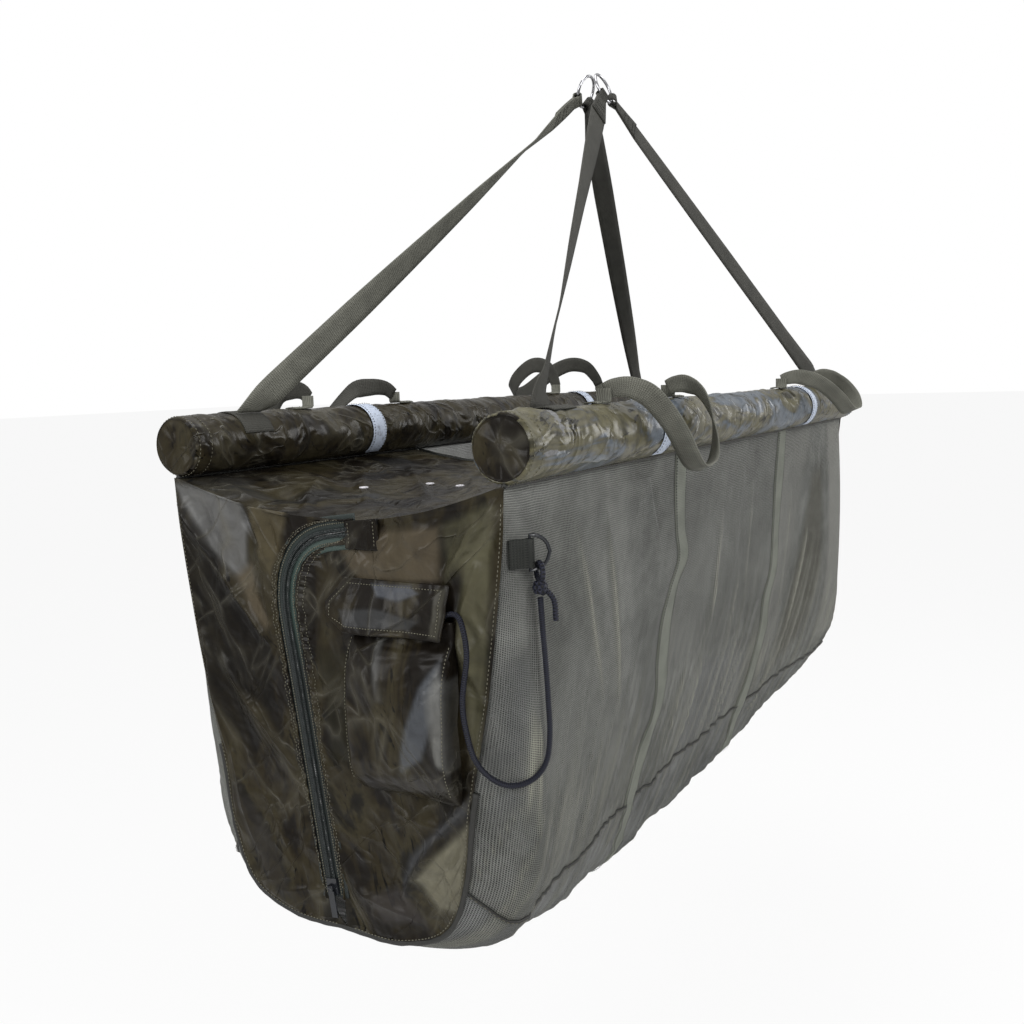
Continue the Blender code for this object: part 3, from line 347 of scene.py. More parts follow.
def braid_shade(place, weave):
    around, along = weave.parts()
    left = (along * 5.2 + around * 12.566).maths("SINE")
    right = (along * 5.2 - around * 12.566).maths("SINE")
    fleck = left.maths("MAXIMUM", right)
    colour = fleck.step(0.1, 0.95).mixed(rgb(0.002, 0.002, 0.004), rgb(0.015, 0.017, 0.032))
    return {"Base_Color": colour, "Normal": fleck.bump(0.0006, 0.8)}


REFLECTIVE = finish("reflective_tape", reflective_shade)
ZIP_CLOTH = finish("zip_cloth", zip_cloth_shade, Roughness=0.55)
CORD_YARN = finish("braided_cord", braid_shade, Roughness=0.5, Specular_IOR_Level=0.3)


# Mesh helpers

def piece(name, mesh, material, nodes=(), body="bag"):
    """Makes a bmesh an object that moves with a body, in place of the nodes it stands for."""
    data = bpy.data.meshes.new(name)
    mesh.to_mesh(data)
    mesh.free()
    data.shade_smooth()
    return placed(bpy.data.objects.new(name, data), material, nodes, body)


def placed(item, material, nodes=(), body="bag"):
    bpy.context.scene.collection.objects.link(item)
    item.data.materials.append(material)
    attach(item, body)
    if nodes:
        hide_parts(*nodes)
    return item


def thicken(item, wall, offset=0):
    solid = item.modifiers.new("wall", "SOLIDIFY")
    solid.thickness, solid.offset = wall, offset


def sewn_cloth(name, mesh, material, node, cut, offset=0):
    """A sheet of coated cloth with a wall, standing for a node. The size worked out from its cut, a
    width and at least a length, is not used.
    """
    area = sum(face.calc_area() for face in mesh.faces)
    item = piece(name, mesh, material, [node])
    thicken(item, 0.0008, offset)
    width, length = cut
    max(length, area / width * 1.01)


def closed(mesh):
    """Joins the long edges of a grid that is rolled up, and fills its ends."""
    bmesh.ops.remove_doubles(mesh, verts=mesh.verts, dist=0.00005)
    bmesh.ops.holes_fill(mesh, edges=[e for e in mesh.edges if e.is_boundary], sides=0)
    bmesh.ops.recalc_face_normals(mesh, faces=mesh.faces)
    return mesh


def laid(place, across, along, width, length, tint=None):
    """A grid laid on place(u, v). Its weave map holds metres of flat cloth, its colour layer painted
    sheen, shade and tints.
    """
    mesh = bmesh.new()
    weave = mesh.loops.layers.uv.new("weave")
    tone = mesh.verts.layers.float_color.new("tone")
    bmesh.ops.create_grid(mesh, x_segments=across, y_segments=along, size=0.5)
    for face in mesh.faces:
        for loop in face.loops:
            loop[weave].uv = ((loop.vert.co.x + 0.5) * width, (loop.vert.co.y + 0.5) * length)
    for vert in mesh.verts:
        u, v = vert.co.x + 0.5, vert.co.y + 0.5
        vert.co = place(u, v)
        vert[tone] = tint(vert.co) if tint else (0, 0, 0, 0)
    return mesh


def spline_through(points, samples):
    """Evenly spaced points on a smooth curve through the given ones."""
    knots = np.array(points, float)
    ends = np.vstack([2 * knots[0] - knots[1], knots, 2 * knots[-1] - knots[-2]])
    t = np.linspace(0, 1, 24, endpoint=False)[:, None]
    dense = []
    for i in range(len(knots) - 1):
        p0, p1, p2, p3 = ends[i:i + 4]
        dense.append(0.5 * (2 * p1 + (p2 - p0) * t + (2 * p0 - 5 * p1 + 4 * p2 - p3) * t ** 2
                            + (3 * p1 - p0 - 3 * p2 + p3) * t ** 3))
    dense = np.vstack(dense + [knots[-1:]])
    run = lengths_along(dense)
    wanted = np.linspace(0, run[-1], samples)
    return np.stack([np.interp(wanted, run, dense[:, k]) for k in range(dense.shape[1])], axis=1)


def sampled(line, share):
    """The point at a share of the way along evenly spaced points."""
    place = clamp(share) * (len(line) - 1)
    low = min(int(place), len(line) - 2)
    return line[low] + (line[low + 1] - line[low]) * (place - low)


def beside(a, b, a0, b0, a1, b1):
    """How far a point is from a stretch, and how far along that it lies."""
    run_a, run_b = a1 - a0, b1 - b0
    t = ((a - a0) * run_a + (b - b0) * run_b) / (run_a ** 2 + run_b ** 2)
    t = clamp(t)
    return hypot(a - a0 - t * run_a, b - b0 - t * run_b), t


def creased(a, b, creases):
    """The height of ridges that each run from one point to another, with a width and a height."""
    total = 0.0
    for a0, b0, a1, b1, width, height in creases:
        apart, t = beside(a, b, a0, b0, a1, b1)
        if apart < 3 * width:
            total += height * (1 - abs(2 * t - 1) ** 3) * exp(-apart / width)
    return total


def tinted(a, b, patches, edge=0.006):
    """The painted sheen, shade and tint of the patches over a point: each is an outline, a colour and a
    strength.
    """
    red = green = blue = cover = 0.0
    for outline, colour, strength in patches:
        inside, nearest = False, 9.0
        for (a0, b0), (a1, b1) in zip(outline, outline[1:] + outline[:1]):
            if (b0 > b) != (b1 > b) and a < (a1 - a0) * (b - b0) / (b1 - b0) + a0:
                inside = not inside
            nearest = min(nearest, beside(a, b, a0, b0, a1, b1)[0])
        share = clamp(0.5 + (nearest if inside else -nearest) / edge) * strength
        if share > 0:
            red, green, blue = (share * new + (1 - share) * old
                                for new, old in zip(colour, (red, green, blue)))
            cover = max(cover, share)
    return (red, green, blue, cover)


def crumple(point, size, height):
    """Creased cloth: flat facets that meet in sharp ridges, about one size across."""
    warp = noise.noise_vector(point / size) * size * 0.35
    apart = noise.voronoi((point + warp) / size)[0]
    return height * (min(apart[1] - apart[0], 0.7) - 0.3)


def ribbon(stations, width_steps=4):
    """A strip through stations of middle, width direction and half width, mapped in metres."""
    run = float(lengths_along(np.array([s[0] for s in stations], float))[-1])

    def place(u, v):
        middle, across, half = stations[round(v * (len(stations) - 1))]
        return Vector(middle) + Vector(across) * half * (2 * u - 1)
    return laid(place, width_steps, len(stations) - 1, 2 * max(s[2] for s in stations), run)


def lengths_along(points):
    """How far along a line each of its points lies."""
    return np.concatenate([[0], np.cumsum(np.linalg.norm(np.diff(points, axis=0), axis=1))])


def down(place, u, low, high, count, off=0.0):
    """Points down a laid piece at a share across it, off it on the zip's side."""
    return [place(u, v) - Vector((off, 0, 0)) for v in np.linspace(low, high, count)]


def stitches(name, line, out, pitch, material=THREAD, radius=0.0004, body="bag"):
    """A row of thread stitches on a line. out is the way off the cloth, or gives it for a place."""
    line = np.array(line, float)
    run = lengths_along(line)
    mesh = bmesh.new()
    for i in range(int(run[-1] / pitch)):
        start, stop = (Vector([np.interp((i + end) * pitch, run, line[:, k]) for k in range(3)])
                       for end in (0, 0.62))
        if (stop - start).length < pitch * 0.1:
            continue
        middle = (start + stop) / 2
        turn = (stop - start).to_track_quat("X", "Z").to_matrix().to_4x4()
        turn.translation = middle + Vector(out(middle) if callable(out) else out) * radius * 0.5
        made = bmesh.ops.create_icosphere(mesh, subdivisions=1, radius=1.0)["verts"]
        bmesh.ops.scale(mesh, vec=((stop - start).length * 0.55, radius, radius), verts=made)
        bmesh.ops.transform(mesh, matrix=turn, verts=made)
    piece(name, mesh, material, body=body)


def dressed(name, node, material, mapping):
    """A piece with a node's own form, its doubles merged and edges rounded, with a weave map."""
    mesh = bmesh.new()
    mesh.from_mesh(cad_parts[node].data)
    bmesh.ops.remove_doubles(mesh, verts=mesh.verts, dist=0.00002)
    bmesh.ops.dissolve_limit(mesh, angle_limit=radians(2), verts=mesh.verts, edges=mesh.edges)
    weave = mesh.loops.layers.uv.new("weave")
    for face in mesh.faces:
        for loop in face.loops:
            loop[weave].uv = mapping(loop.vert.co)
    item = piece(name, mesh, material, [node])
    edge = item.modifiers.new("edge", "BEVEL")
    edge.width, edge.segments = 0.0003, 2
    edge.limit_method, edge.angle_limit = "ANGLE", radians(50)


def outward(side):
    """The way off a tube's middle line, for a place on its cover."""
    return lambda p: Vector((0, p.y - side * HALF_SPACING, p.z + DROP)).normalized()


def round_tube(side, x, lift, angles):
    """Points round a tube at x, a little off its cover."""
    return [Vector((x, side * HALF_SPACING, -DROP))
            + Vector((0, side * sin(a), cos(a))) * (TUBE_RADIUS + lift) for a in angles]


def on_tube(side):
    """A weave map for a piece wrapped on a tube, in metres along it and round it."""
    return lambda p: (p.x, atan2((p.y - side * HALF_SPACING) * side, p.z + DROP) * TUBE_RADIUS)


# The bag's form, as the solids have it

PANEL_SHARES = ((1.0, 0.0), (0.975, 0.15), (0.885, 0.43), (0.775, 0.66), (0.72, 0.83), (0.60, 0.95),
                (0.32, 1.0), (0.0, 1.0))
CORNER_SHARES = ((1.0, 0.0), (1.05, 0.30), (1.05, 0.55), (1.02, 0.72), (0.95, 0.85), (0.76, 0.955),
                 (0.40, 1.0), (0.0, 1.0))
MIDDLE_SHARES = ((1.0, 0.0), (0.93, 0.25), (0.83, 0.50), (0.72, 0.68), (0.61, 0.82), (0.47, 0.94),
                 (0.25, 0.99), (0.0, 1.0))
ROWS = 260
COLUMNS = 200
CORNER_ROWS = 16


def section(x):
    """The bag's cross-section at x, from the near tube round to the far one."""
    belly = 1 - min(abs(x) / (HALF_LENGTH - CORNER_RUN), 1.0) ** 2.5
    side = np.array(CORNER_SHARES) * (1 - belly) + np.array(MIDDLE_SHARES) * belly
    depth = END_DEPTH + (MIDDLE_DEPTH - END_DEPTH) * belly
    body = side * (HALF_SPACING, -depth) + (0, BAG_TOP)
    panel = np.array(PANEL_SHARES) * (HALF_SPACING, -PANEL_DEPTH) + (0, BAG_TOP)
    turn = sin(min((HALF_LENGTH - abs(x)) / CORNER_RUN, 1.0) * pi / 2)
    half = panel * (1 - turn) + body * turn
    return spline_through(np.vstack([half * (-1, 1), half[-2::-1]]), COLUMNS + 1)


def along_bag(v):
    even = 2 * v - 1
    turn = CORNER_RUN / HALF_LENGTH
    knee = 1 - 2 * CORNER_ROWS / ROWS
    if abs(even) < knee:
        return HALF_LENGTH * (1 - turn) * even / knee
    reach = HALF_LENGTH * (1 - turn) + (CORNER_RUN - 0.0006) * (abs(even) - knee) / (1 - knee)
    return copysign(reach, even)


BAG_X = np.array([along_bag(row / ROWS) for row in range(ROWS + 1)])
SHELL = np.array([np.column_stack([np.full(COLUMNS + 1, x), section(x)]) for x in BAG_X])
SHELL_OUT = np.cross(np.gradient(SHELL, axis=1), np.gradient(SHELL, axis=0))
SHELL_OUT /= np.linalg.norm(SHELL_OUT, axis=2, keepdims=True)


def top_edge(y, sag):
    return BAG_TOP - sag * (1 - min(abs(y) / HALF_SPACING, 1) ** 2)


# Camera, light and floor

FLOOR = -1.40


def make_camera():
    yaw, pitch, roll = map(radians, (30.205, 7.195, -1.816))
    forward = Vector((cos(pitch) * cos(yaw), cos(pitch) * sin(yaw),
                      -sin(pitch)))
    right = forward.cross(UP).normalized()
    up = right.cross(forward)
    tilted_right = right * cos(roll) + up * sin(roll)
    tilted_up = up * cos(roll) - right * sin(roll)
    data = bpy.data.cameras.new("photo_view")
    data.lens, data.clip_start = 37.16, 0.01
    camera = bpy.data.objects.new("photo_view", data)
    camera.matrix_world = Matrix((tilted_right, tilted_up, -forward)).transposed().to_4x4()
    camera.location = (-1.3516, -0.6367, -0.3996)
    bpy.context.scene.collection.objects.link(camera)
    bpy.context.scene.camera = camera


def make_lamp(name, place, aim, size, power):
    data = bpy.data.lights.new(name, "AREA")
    data.shape, data.energy = "RECTANGLE", power
    data.size, data.size_y = size
    lamp = bpy.data.objects.new(name, data)
    lamp.location = place
    lamp.rotation_euler = (Vector(aim) - Vector(place)).to_track_quat("-Z", "Y").to_euler()
    bpy.context.scene.collection.objects.link(lamp)


def make_world():
    """A white backdrop to look at, and to see in gloss, that lights the object less."""
    world = bpy.data.worlds.new("studio")
    world.use_nodes = True
    bpy.context.scene.world = world
    start = Field(world.node_tree)
    camera_ray, glossy, through = (start.node("LightPath", out=f"Is {kind} Ray")
                                   for kind in ("Camera", "Glossy", "Transmission"))
    seen = camera_ray.maths("MAXIMUM", glossy * 0.35).maths("MAXIMUM", through)
    back = world.node_tree.nodes["Background"]
    back.inputs["Color"].default_value = rgb(1, 1, 1)
    world.node_tree.links.new((seen * 0.62 + 0.38).socket, back.inputs["Strength"])


def make_floor():
    """A pale floor that keeps the object's shadow and otherwise looks white."""
    mesh = bmesh.new()
    bmesh.ops.create_grid(mesh, x_segments=2, y_segments=2, size=40)
    bmesh.ops.translate(mesh, vec=(0, 0, FLOOR), verts=mesh.verts)
    data = bpy.data.meshes.new("floor")
    mesh.to_mesh(data)
    mesh.free()
    floor = bpy.data.objects.new("floor", data)
    bpy.context.scene.collection.objects.link(floor)
    material = bpy.data.materials.new("pale_floor")
    material.use_nodes = True
    tree = material.node_tree
    shader = tree.nodes["Principled BSDF"]
    shader.inputs["Base Color"].default_value = rgb(0.92, 0.92, 0.92)
    shader.inputs["Roughness"].default_value = 0.9
    field = Field(tree)
    glow = field.node("Emission", inputs={"Color": rgb(1, 1, 1), "Strength": 1.0})
    mixed = field.node("MixShader", inputs={0: field.node("LightPath", out="Is Camera Ray") * 0.90})
    tree.links.new(shader.outputs[0], mixed.socket.node.inputs[1])
    tree.links.new(glow.socket, mixed.socket.node.inputs[2])
    tree.links.new(mixed.socket, tree.nodes["Material Output"].inputs["Surface"])
    data.materials.append(material)


bpy.context.scene.view_settings.view_transform = "Standard"
make_camera()
make_world()
make_floor()
make_lamp("left_box", (-2.4, 0.5, 0.5), (-0.6, 0.1, -0.6), (1.0, 1.2), 24)
make_lamp("front_box", (-1.5, -2.2, 0.8), (0.0, -0.2, -0.7), (1.2, 1.2), 28)
make_lamp("top_box", (-0.1, 0.1, 1.5), (0.0, 0.0, -0.5), (1.6, 1.0), 22)
make_lamp("right_box", (1.8, -1.8, 0.2), (0.3, -0.2, -0.7), (0.9, 1.4), 22)


# Cord: from its knot on the ring down to the pocket, and the rest folded to and fro in there

CORD_RADIUS = 0.0025
CORD_LENGTH = 1.90
CORD_ROUTE = ((-0.6148, -0.1100, -0.1925), (-0.6115, -0.1125, -0.1800), (-0.6066, -0.1180, -0.1630),
              (-0.6058, -0.1290, -0.1470), (-0.6075, -0.1435, -0.1425), (-0.6140, -0.1545, -0.1500),
              (-0.6155, -0.1590, -0.1760), (-0.6190, -0.1555, -0.2131), (-0.6180, -0.1570, -0.2397),
              (-0.6124, -0.1616, -0.2679), (-0.6020, -0.1701, -0.2861), (-0.5890, -0.1819, -0.2962),
              (-0.5749, -0.1960, -0.2937), (-0.5650, -0.2055, -0.2794), (-0.5620, -0.2085, -0.2552),
              (-0.5630, -0.2085, -0.2231), (-0.5660, -0.2085, -0.1868), (-0.5700, -0.2090, -0.1600))
CORD_ENTRY = ((-0.6165, -0.1150, -0.1975), (-0.6195, -0.1180, -0.2050), (-0.6233, -0.1185, -0.2200))
FOLDS, FOLD_BEND, FOLD_PITCH, FOLD_MIDDLE = 7, 0.0085, 0.0057, -0.250
D_TIP = Vector((-0.578, -0.2028, -0.547))
D_HEADING = Vector((cos(radians(-41)), sin(radians(-41)), 0))
KNOT_EYE = D_TIP + D_HEADING * 0.00828 - UP * 0.01693
KNOT = KNOT_EYE - UP * 0.01355
KNOT_FOOT = KNOT - UP * 0.00885


def cord_piece(name, points, nodes=(), body="cord_ring"):
    """A round cord through points, with a weave map of turns round it and radii along it."""
    points = [Vector(p) for p in points]
    across = Vector((0, 1, 0))
    rings = []
    for i, point in enumerate(points):
        way = (points[min(i + 1, len(points) - 1)] - points[max(i - 1, 0)]).normalized()
        across = (across - way * across.dot(way)).normalized()
        rings.append((point, across.copy(), way.cross(across)))

    def place(u, v):
        point, first, second = rings[round(v * (len(rings) - 1))]
        turn = 2 * pi * u
        return point + (first * cos(turn) + second * sin(turn)) * CORD_RADIUS
    mesh = laid(place, 12, len(rings) - 1, 1.0, lengths_along(np.array(points))[-1] / CORD_RADIUS)
    return piece(name, closed(mesh), CORD_YARN, nodes, body)


def make_cord():
    route = [(x, y, z - DROP) for x, y, z in reversed(CORD_ROUTE)]
    entry = [(x, y, z - DROP) for x, y, z in CORD_ENTRY]
    shown = spline_through([tuple(KNOT_FOOT)] + route + entry, 90)
    turn_length = hypot(2 * pi * FOLD_BEND, FOLD_PITCH)
    run = (CORD_LENGTH - lengths_along(shown)[-1] + 0.018) / FOLDS / 2 - turn_length / 2
    x, y, z = CORD_ROUTE[0][0], CORD_ENTRY[-1][1], FOLD_MIDDLE - DROP
    bends = [(x + way * FOLD_BEND * cos(a), z + way * (run / 2 + FOLD_BEND * sin(a)))
             for way in (-1, 1) for a in np.linspace(0, pi, 11)]
    loops = [(a, y + FOLD_PITCH * (fold + i / 22), b)
             for fold in range(FOLDS) for i, (a, b) in enumerate(bends)]
    points = [tuple(p) for p in shown] + loops[:-2]
    cord = cord_piece("cord", points, ["retention_cord", "cord_hank"], "bag")
    side = D_HEADING.cross(UP)
    hitch = [KNOT_EYE + (side * sin(a) + UP * cos(a)) * 0.0078
             for a in np.linspace(0, 2 * pi, 40)]
    winds = []
    for a in np.linspace(0, 3 * 2 * pi, 90):
        swell = 0.0026 + 0.0020 * sin(a / 6)
        winds.append(KNOT + (D_HEADING * cos(a) + side * sin(a)) * swell
                     + UP * (0.0052 - 0.0104 * a / 18.85))
    top = KNOT + side * 0.0022 + D_HEADING * 0.0025
    tail = spline_through([top, top + D_HEADING * 0.009 - UP * 0.012,
                           top + D_HEADING * 0.0105 - UP * 0.030], 20)
    parts = [cord_piece("knot_hitch", hitch, ["cord_knot"]), cord_piece("knot_winds", winds),
             cord_piece("knot_tail", tail)]


make_cord()
dressed("ring_tab", "d_ring_tab", DARK_STRAPPING, lambda p: (p.z, hypot(p.x, p.y)))


# Float tubes

BAND_PLACE, BAND_EDGE = 0.302, 0.0105
TUBE_GRID = (72, 340)
# Rings of a tube's end disc: the share of its radius, and how far it sinks
CAP_RINGS = ((0.90, 0.0010), (0.80, 0.0002), (0.60, 0.0006), (0.35, 0.0008), (0.12, 0.0004))
# Folds of a cover: place along it and reach round it of both ends, width and height
FOLD_LINES = {
    -1: metres(((-592, 60, -560, 10, 4, -3), (-590, 50, -545, 35, 4, 3), (-588, 55, -530, 55, 5, -2.5),
                (-585, 45, -555, -15, 4, 2.8), (-545, -20, -575, 40, 5, 2.2),
                (-500, -30, -545, 45, 6, -2))),
    1: metres(((-575, -30, -545, -55, 4, 2), (-470, 30, -430, -30, 5, 2.5),
               (-300, 20, -270, -50, 4, 2))),
}


def tube_surface(side, x, angle, wrinkle=1.0):
    """A point of a tube's cover. The angle is from the top, towards the outer side."""
    reach = angle * TUBE_RADIUS
    seam = 0.5 + 0.5 * cos(angle)
    lean = 0.8 if side < 0 else 0.5
    from_end = HALF_LENGTH - abs(x)
    pull = Vector((x + reach * lean, (reach - x * lean) * 0.30, side * 3.0))
    out = crumple(pull, 0.030, 0.0030) + crumple(pull * 1.7 + Vector((7, 0, 0)), 0.024, 0.0012)
    out += creased(x, reach, FOLD_LINES[side])
    taut = min(max(from_end / 0.004, 0.2), 1)
    radius = TUBE_RADIUS - 0.0003 + out * wrinkle * (0.35 + 0.65 * seam) * taut
    radius -= 0.003 * (1 - min(from_end / 0.006, 1)) ** 2
    return Vector((x, side * (HALF_SPACING + sin(angle) * radius),
                   -DROP + cos(angle) * radius))


def close_end(mesh, side, end):
    """Turns a cover's rim in to a slightly puckered disc."""
    middle = Vector((end * HALF_LENGTH, side * HALF_SPACING, -DROP))
    rim = [e for e in mesh.edges if e.is_boundary and abs(e.verts[0].co.x - middle.x) < 0.001]
    for share, sink in CAP_RINGS:
        made = bmesh.ops.extrude_edge_only(mesh, edges=rim)["geom"]
        for vert in (g for g in made if isinstance(g, bmesh.types.BMVert)):
            flat = vert.co - middle
            flat *= share * TUBE_RADIUS / hypot(flat.y, flat.z)
            angle = atan2(flat.y, flat.z)
            pucker = 0.0004 * sin(6 * angle + 2 * sin(3 * angle + end)) * min(share * 2, 1)
            pucker += noise.noise(Vector((flat.y, flat.z, end)) / 0.012) * 0.0012
            vert.co = middle + Vector((end * (pucker - sink), flat.y, flat.z))
        rim = [g for g in made if isinstance(g, bmesh.types.BMEdge) and g.is_boundary]
    bmesh.ops.contextual_create(mesh, geom=rim)


def make_tube(side_name, side):
    def place(u, v):
        return tube_surface(side, HALF_LENGTH * (2 * v - 1), pi * (2 * u - 1))
    mesh = laid(place, *TUBE_GRID, 2 * pi * TUBE_RADIUS, 2 * HALF_LENGTH)
    bmesh.ops.remove_doubles(mesh, verts=mesh.verts, dist=0.0001)
    for end in ENDS.values():
        close_end(mesh, side, end)
    bmesh.ops.recalc_face_normals(mesh, faces=mesh.faces)
    nodes = [f"float_sleeve_{side_name}"] + [f"float_cap_{end_name}_{side_name}" for end_name in ENDS]
    cover = piece(f"tube_cover_{side_name}", mesh, TUBE_CLOTHS[side_name], nodes)
    cover.data.materials.append(PANEL_CLOTH)
    for face in cover.data.polygons:
        if abs(face.normal.x) > 0.6 and abs(face.center.x) > HALF_LENGTH - 0.006:
            face.material_index = 1
    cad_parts[f"foam_core_{side_name}"].data.materials[0] = FOAM
    for end_name, end in ENDS.items():
        name = f"{end_name}_{side_name}"
        for row, back in enumerate((0.0045, 0.020)):
            ring = [tube_surface(side, end * (HALF_LENGTH - back), a)
                    for a in np.linspace(-3.1, 3.1, 60)]
            stitches(f"cap_stitches_{name}_{row}", ring, outward(side), 0.0042, THREAD, 0.00042)
        dressed(f"band_{name}", f"reflective_band_{name}", REFLECTIVE, on_tube(side))
        for edge, off in (("inner", -BAND_EDGE), ("outer", BAND_EDGE)):
            line = round_tube(side, end * (BAND_PLACE + off), 0.0014, np.linspace(-2.5, 2.5, 60))
            stitches(f"band_stitches_{name}_{edge}", line, outward(side), 0.0036, DARK_THREAD)


for side_name, side in SIDES.items():
    make_tube(side_name, side)


# Suspension straps and hang rings

RING_RADIUS = 0.020
WIRE_RADIUS = 0.0019
HOOK_SPREAD = 0.006
STRAP_WIDTH, FOOT_WIDTH, EYE_HALF = 0.030, 0.036, 0.007
EYE_RADIUS = 0.0055
NECK = EYE_RADIUS * 1.9
SETTLE = 0.035
SEWN = 0.058
STRAP_ROWS = (0.055, 0.049, 0.038, 0.030)
SADDLE_WIDTH, SADDLE_MIDDLE, SADDLE_REACH = 0.042, -25, 48
# Where each strap stands along its tube, and its twist in degrees at shares of its length
STRAPS = {
    ("zip_end", "near"): (0.503, ((0, 0), (0.06, -34), (0.22, -45), (0.4, -32), (0.6, -22), (0.8, -6),
                                  (0.92, 0), (1, 0))),
    ("zip_end", "far"): (0.510, ((0, 0), (0.06, -33), (0.27, -22), (0.45, -2), (0.64, 18), (0.82, 42),
                                 (0.92, 20), (1, 0))),
    ("plain_end", "near"): (0.510, ((0, 0), (0.06, 32), (0.2, 22), (0.5, 18), (0.8, 10), (0.92, 5),
                                    (1, 0))),
    ("plain_end", "far"): (0.538, ((0, 0), (0.06, 4), (0.25, -16), (0.5, -32), (0.75, -38), (0.9, -20),
                                   (1, 0))),
}


def leaning(side):
    """The way off the plane of a pair of straps, and the middle of its ring."""
    top = Vector((0, side * HOOK_SPREAD, 0.002))
    up = (top - Vector((0, side * STRAP_FOOT_Y, STRAP_FOOT_Z))).normalized()
    return -side * ALONG.cross(up), top - up * RING_RADIUS


def make_strap(end_name, side_name):
    """A strap from its foot on the tube, folded round the ring and sewn back on itself."""
    side = SIDES[side_name]
    out, ring = leaning(side)
    stand, twist = STRAPS[end_name, side_name]
    foot = Vector((ENDS[end_name] * stand, side * STRAP_FOOT_Y, STRAP_FOOT_Z))
    pull = (ring - foot).normalized()
    eye = ring - pull * (RING_RADIUS + 0.0006)
    flat = out.cross(pull)
    flat = flat if flat.x > 0 else -flat
    length = (eye - foot).length

    def station(back, off):
        turn = radians(float(np.interp(1 - back / length, *zip(*twist))))
        across = cos(turn) * flat + sin(turn) * out
        normal = cos(turn) * out - sin(turn) * flat
        settle = min((length - back) / SETTLE, 1)
        across = (ALONG * (1 - settle) + across * settle).normalized()
        half = (FOOT_WIDTH * (1 - settle) + STRAP_WIDTH * settle) / 2
        half = EYE_HALF + (half - EYE_HALF) * clamp(back / SEWN)
        return eye - pull * back + normal * off, across, half

    backs = np.concatenate([np.linspace(length, length - SETTLE, 6),
                            np.linspace(length - SETTLE, SEWN, 60)[1:],
                            np.linspace(SEWN, NECK, 10)[1:]])
    stations = [station(back, -LAYER * min((length - back) / SETTLE, 1)) for back in backs]
    stations += [station(EYE_RADIUS * cos(turn), -EYE_RADIUS * sin(turn))
                 for turn in np.linspace(radians(50), radians(310), 15)]
    stations += [station(back, LAYER) for back in np.linspace(NECK, SEWN, 10)]
    name, body = f"{end_name}_{side_name}", f"strap_pair_{side_name}"
    # Painted shade: every strap but the zip end far one takes the darker webbing
    tone = STRAPPING if name == "zip_end_far" else SHADED_STRAPPING
    thicken(piece(f"strap_{name}", ribbon(stations), tone, [f"suspension_strap_{name}"],
                  body), WEBBING)
    for row, back in enumerate(STRAP_ROWS):
        for face, off in (("out", LAYER * 2.1), ("in", -LAYER * 2.1)):
            middle, across, half = station(back, off)
            line = [middle + across * half * t for t in (-0.85, 0.0, 0.85)]
            away = (middle - station(back, 0)[0]).normalized()
            stitches(f"strap_stitches_{name}_{row}_{face}", line, away, 0.0022, DARK_THREAD, 0.0005,
                     body)


def make_saddle(end_name, side_name):
    """Webbing laid over the inner side of a tube's top, under a strap's foot."""
    side = SIDES[side_name]
    middle = ENDS[end_name] * STRAPS[end_name, side_name][0]
    low, high = (radians(SADDLE_MIDDLE + way * SADDLE_REACH) for way in (-1, 1))

    def place(u, v):
        point = tube_surface(side, middle + SADDLE_WIDTH * (v - 0.5), low + (high - low) * u, 0.3)
        return point + outward(side)(point) * LAYER
    mesh = laid(place, 24, 8, (high - low) * TUBE_RADIUS, SADDLE_WIDTH)
    bmesh.ops.recalc_face_normals(mesh, faces=mesh.faces)
    if sum(face.normal.dot(outward(side)(face.calc_center_median())) for face in mesh.faces) < 0:
        bmesh.ops.reverse_faces(mesh, faces=mesh.faces)
    name = f"{end_name}_{side_name}"
    # Painted shade: the saddles take the darker webbing
    thicken(piece(f"strap_saddle_{name}", mesh, SHADED_STRAPPING, [f"strap_anchor_{name}"]),
            0.0014)


def make_ring(side_name, side):
    out, centre = leaning(side)
    bpy.ops.mesh.primitive_torus_add(major_radius=RING_RADIUS, minor_radius=WIRE_RADIUS,
                                     major_segments=72, minor_segments=16)
    ring = bpy.context.object
    ring.name = f"ring_wire_{side_name}"
    turn = Matrix((ALONG, out.cross(ALONG), out)).transposed().to_4x4()
    turn.translation = centre
    ring.data.transform(turn)
    ring.data.shade_smooth()
    ring.data.materials.append(CHROME)
    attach(ring, f"ring_{side_name}")
    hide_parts(f"hang_ring_{side_name}")


for side_name, side in SIDES.items():
    for end_name in ENDS:
        make_strap(end_name, side_name)
        make_saddle(end_name, side_name)
    make_ring(side_name, side)


# Carry handles

# Plan: sideways and outward shares. Falls: reach from the hinge and rise above it
HANDLE_PLACE = 0.312
HANDLE_SPAN = 0.083
HANDLE_WIDTH, HANDLE_FOOT = 0.025, 0.0165
HANDLE_PLAN = ((1.0, 0.0), (0.97, 0.10), (0.86, 0.36), (0.70, 0.62), (0.54, 0.82), (0.36, 0.95),
               (0.16, 1.0), (0.0, 1.0))
HANDLE_FALL = metres((
    (0, 0), (10, 3.5), (24, 3), (40, -8), (52, -40), (56, -85)))
HANDLE_REACH = metres((
    (0, 0), (10, 3.5), (26, 4), (50, -6), (70, -28), (80, -50)))
HANDLE_FLOP = metres((
    (0, 0), (10, 8), (26, 10), (45, 4), (60, -30), (66, -70)))
HANDLE_ARCH = metres((
    (0, 0), (6, 14), (20, 32), (46, 36), (76, 18), (104, -12)))
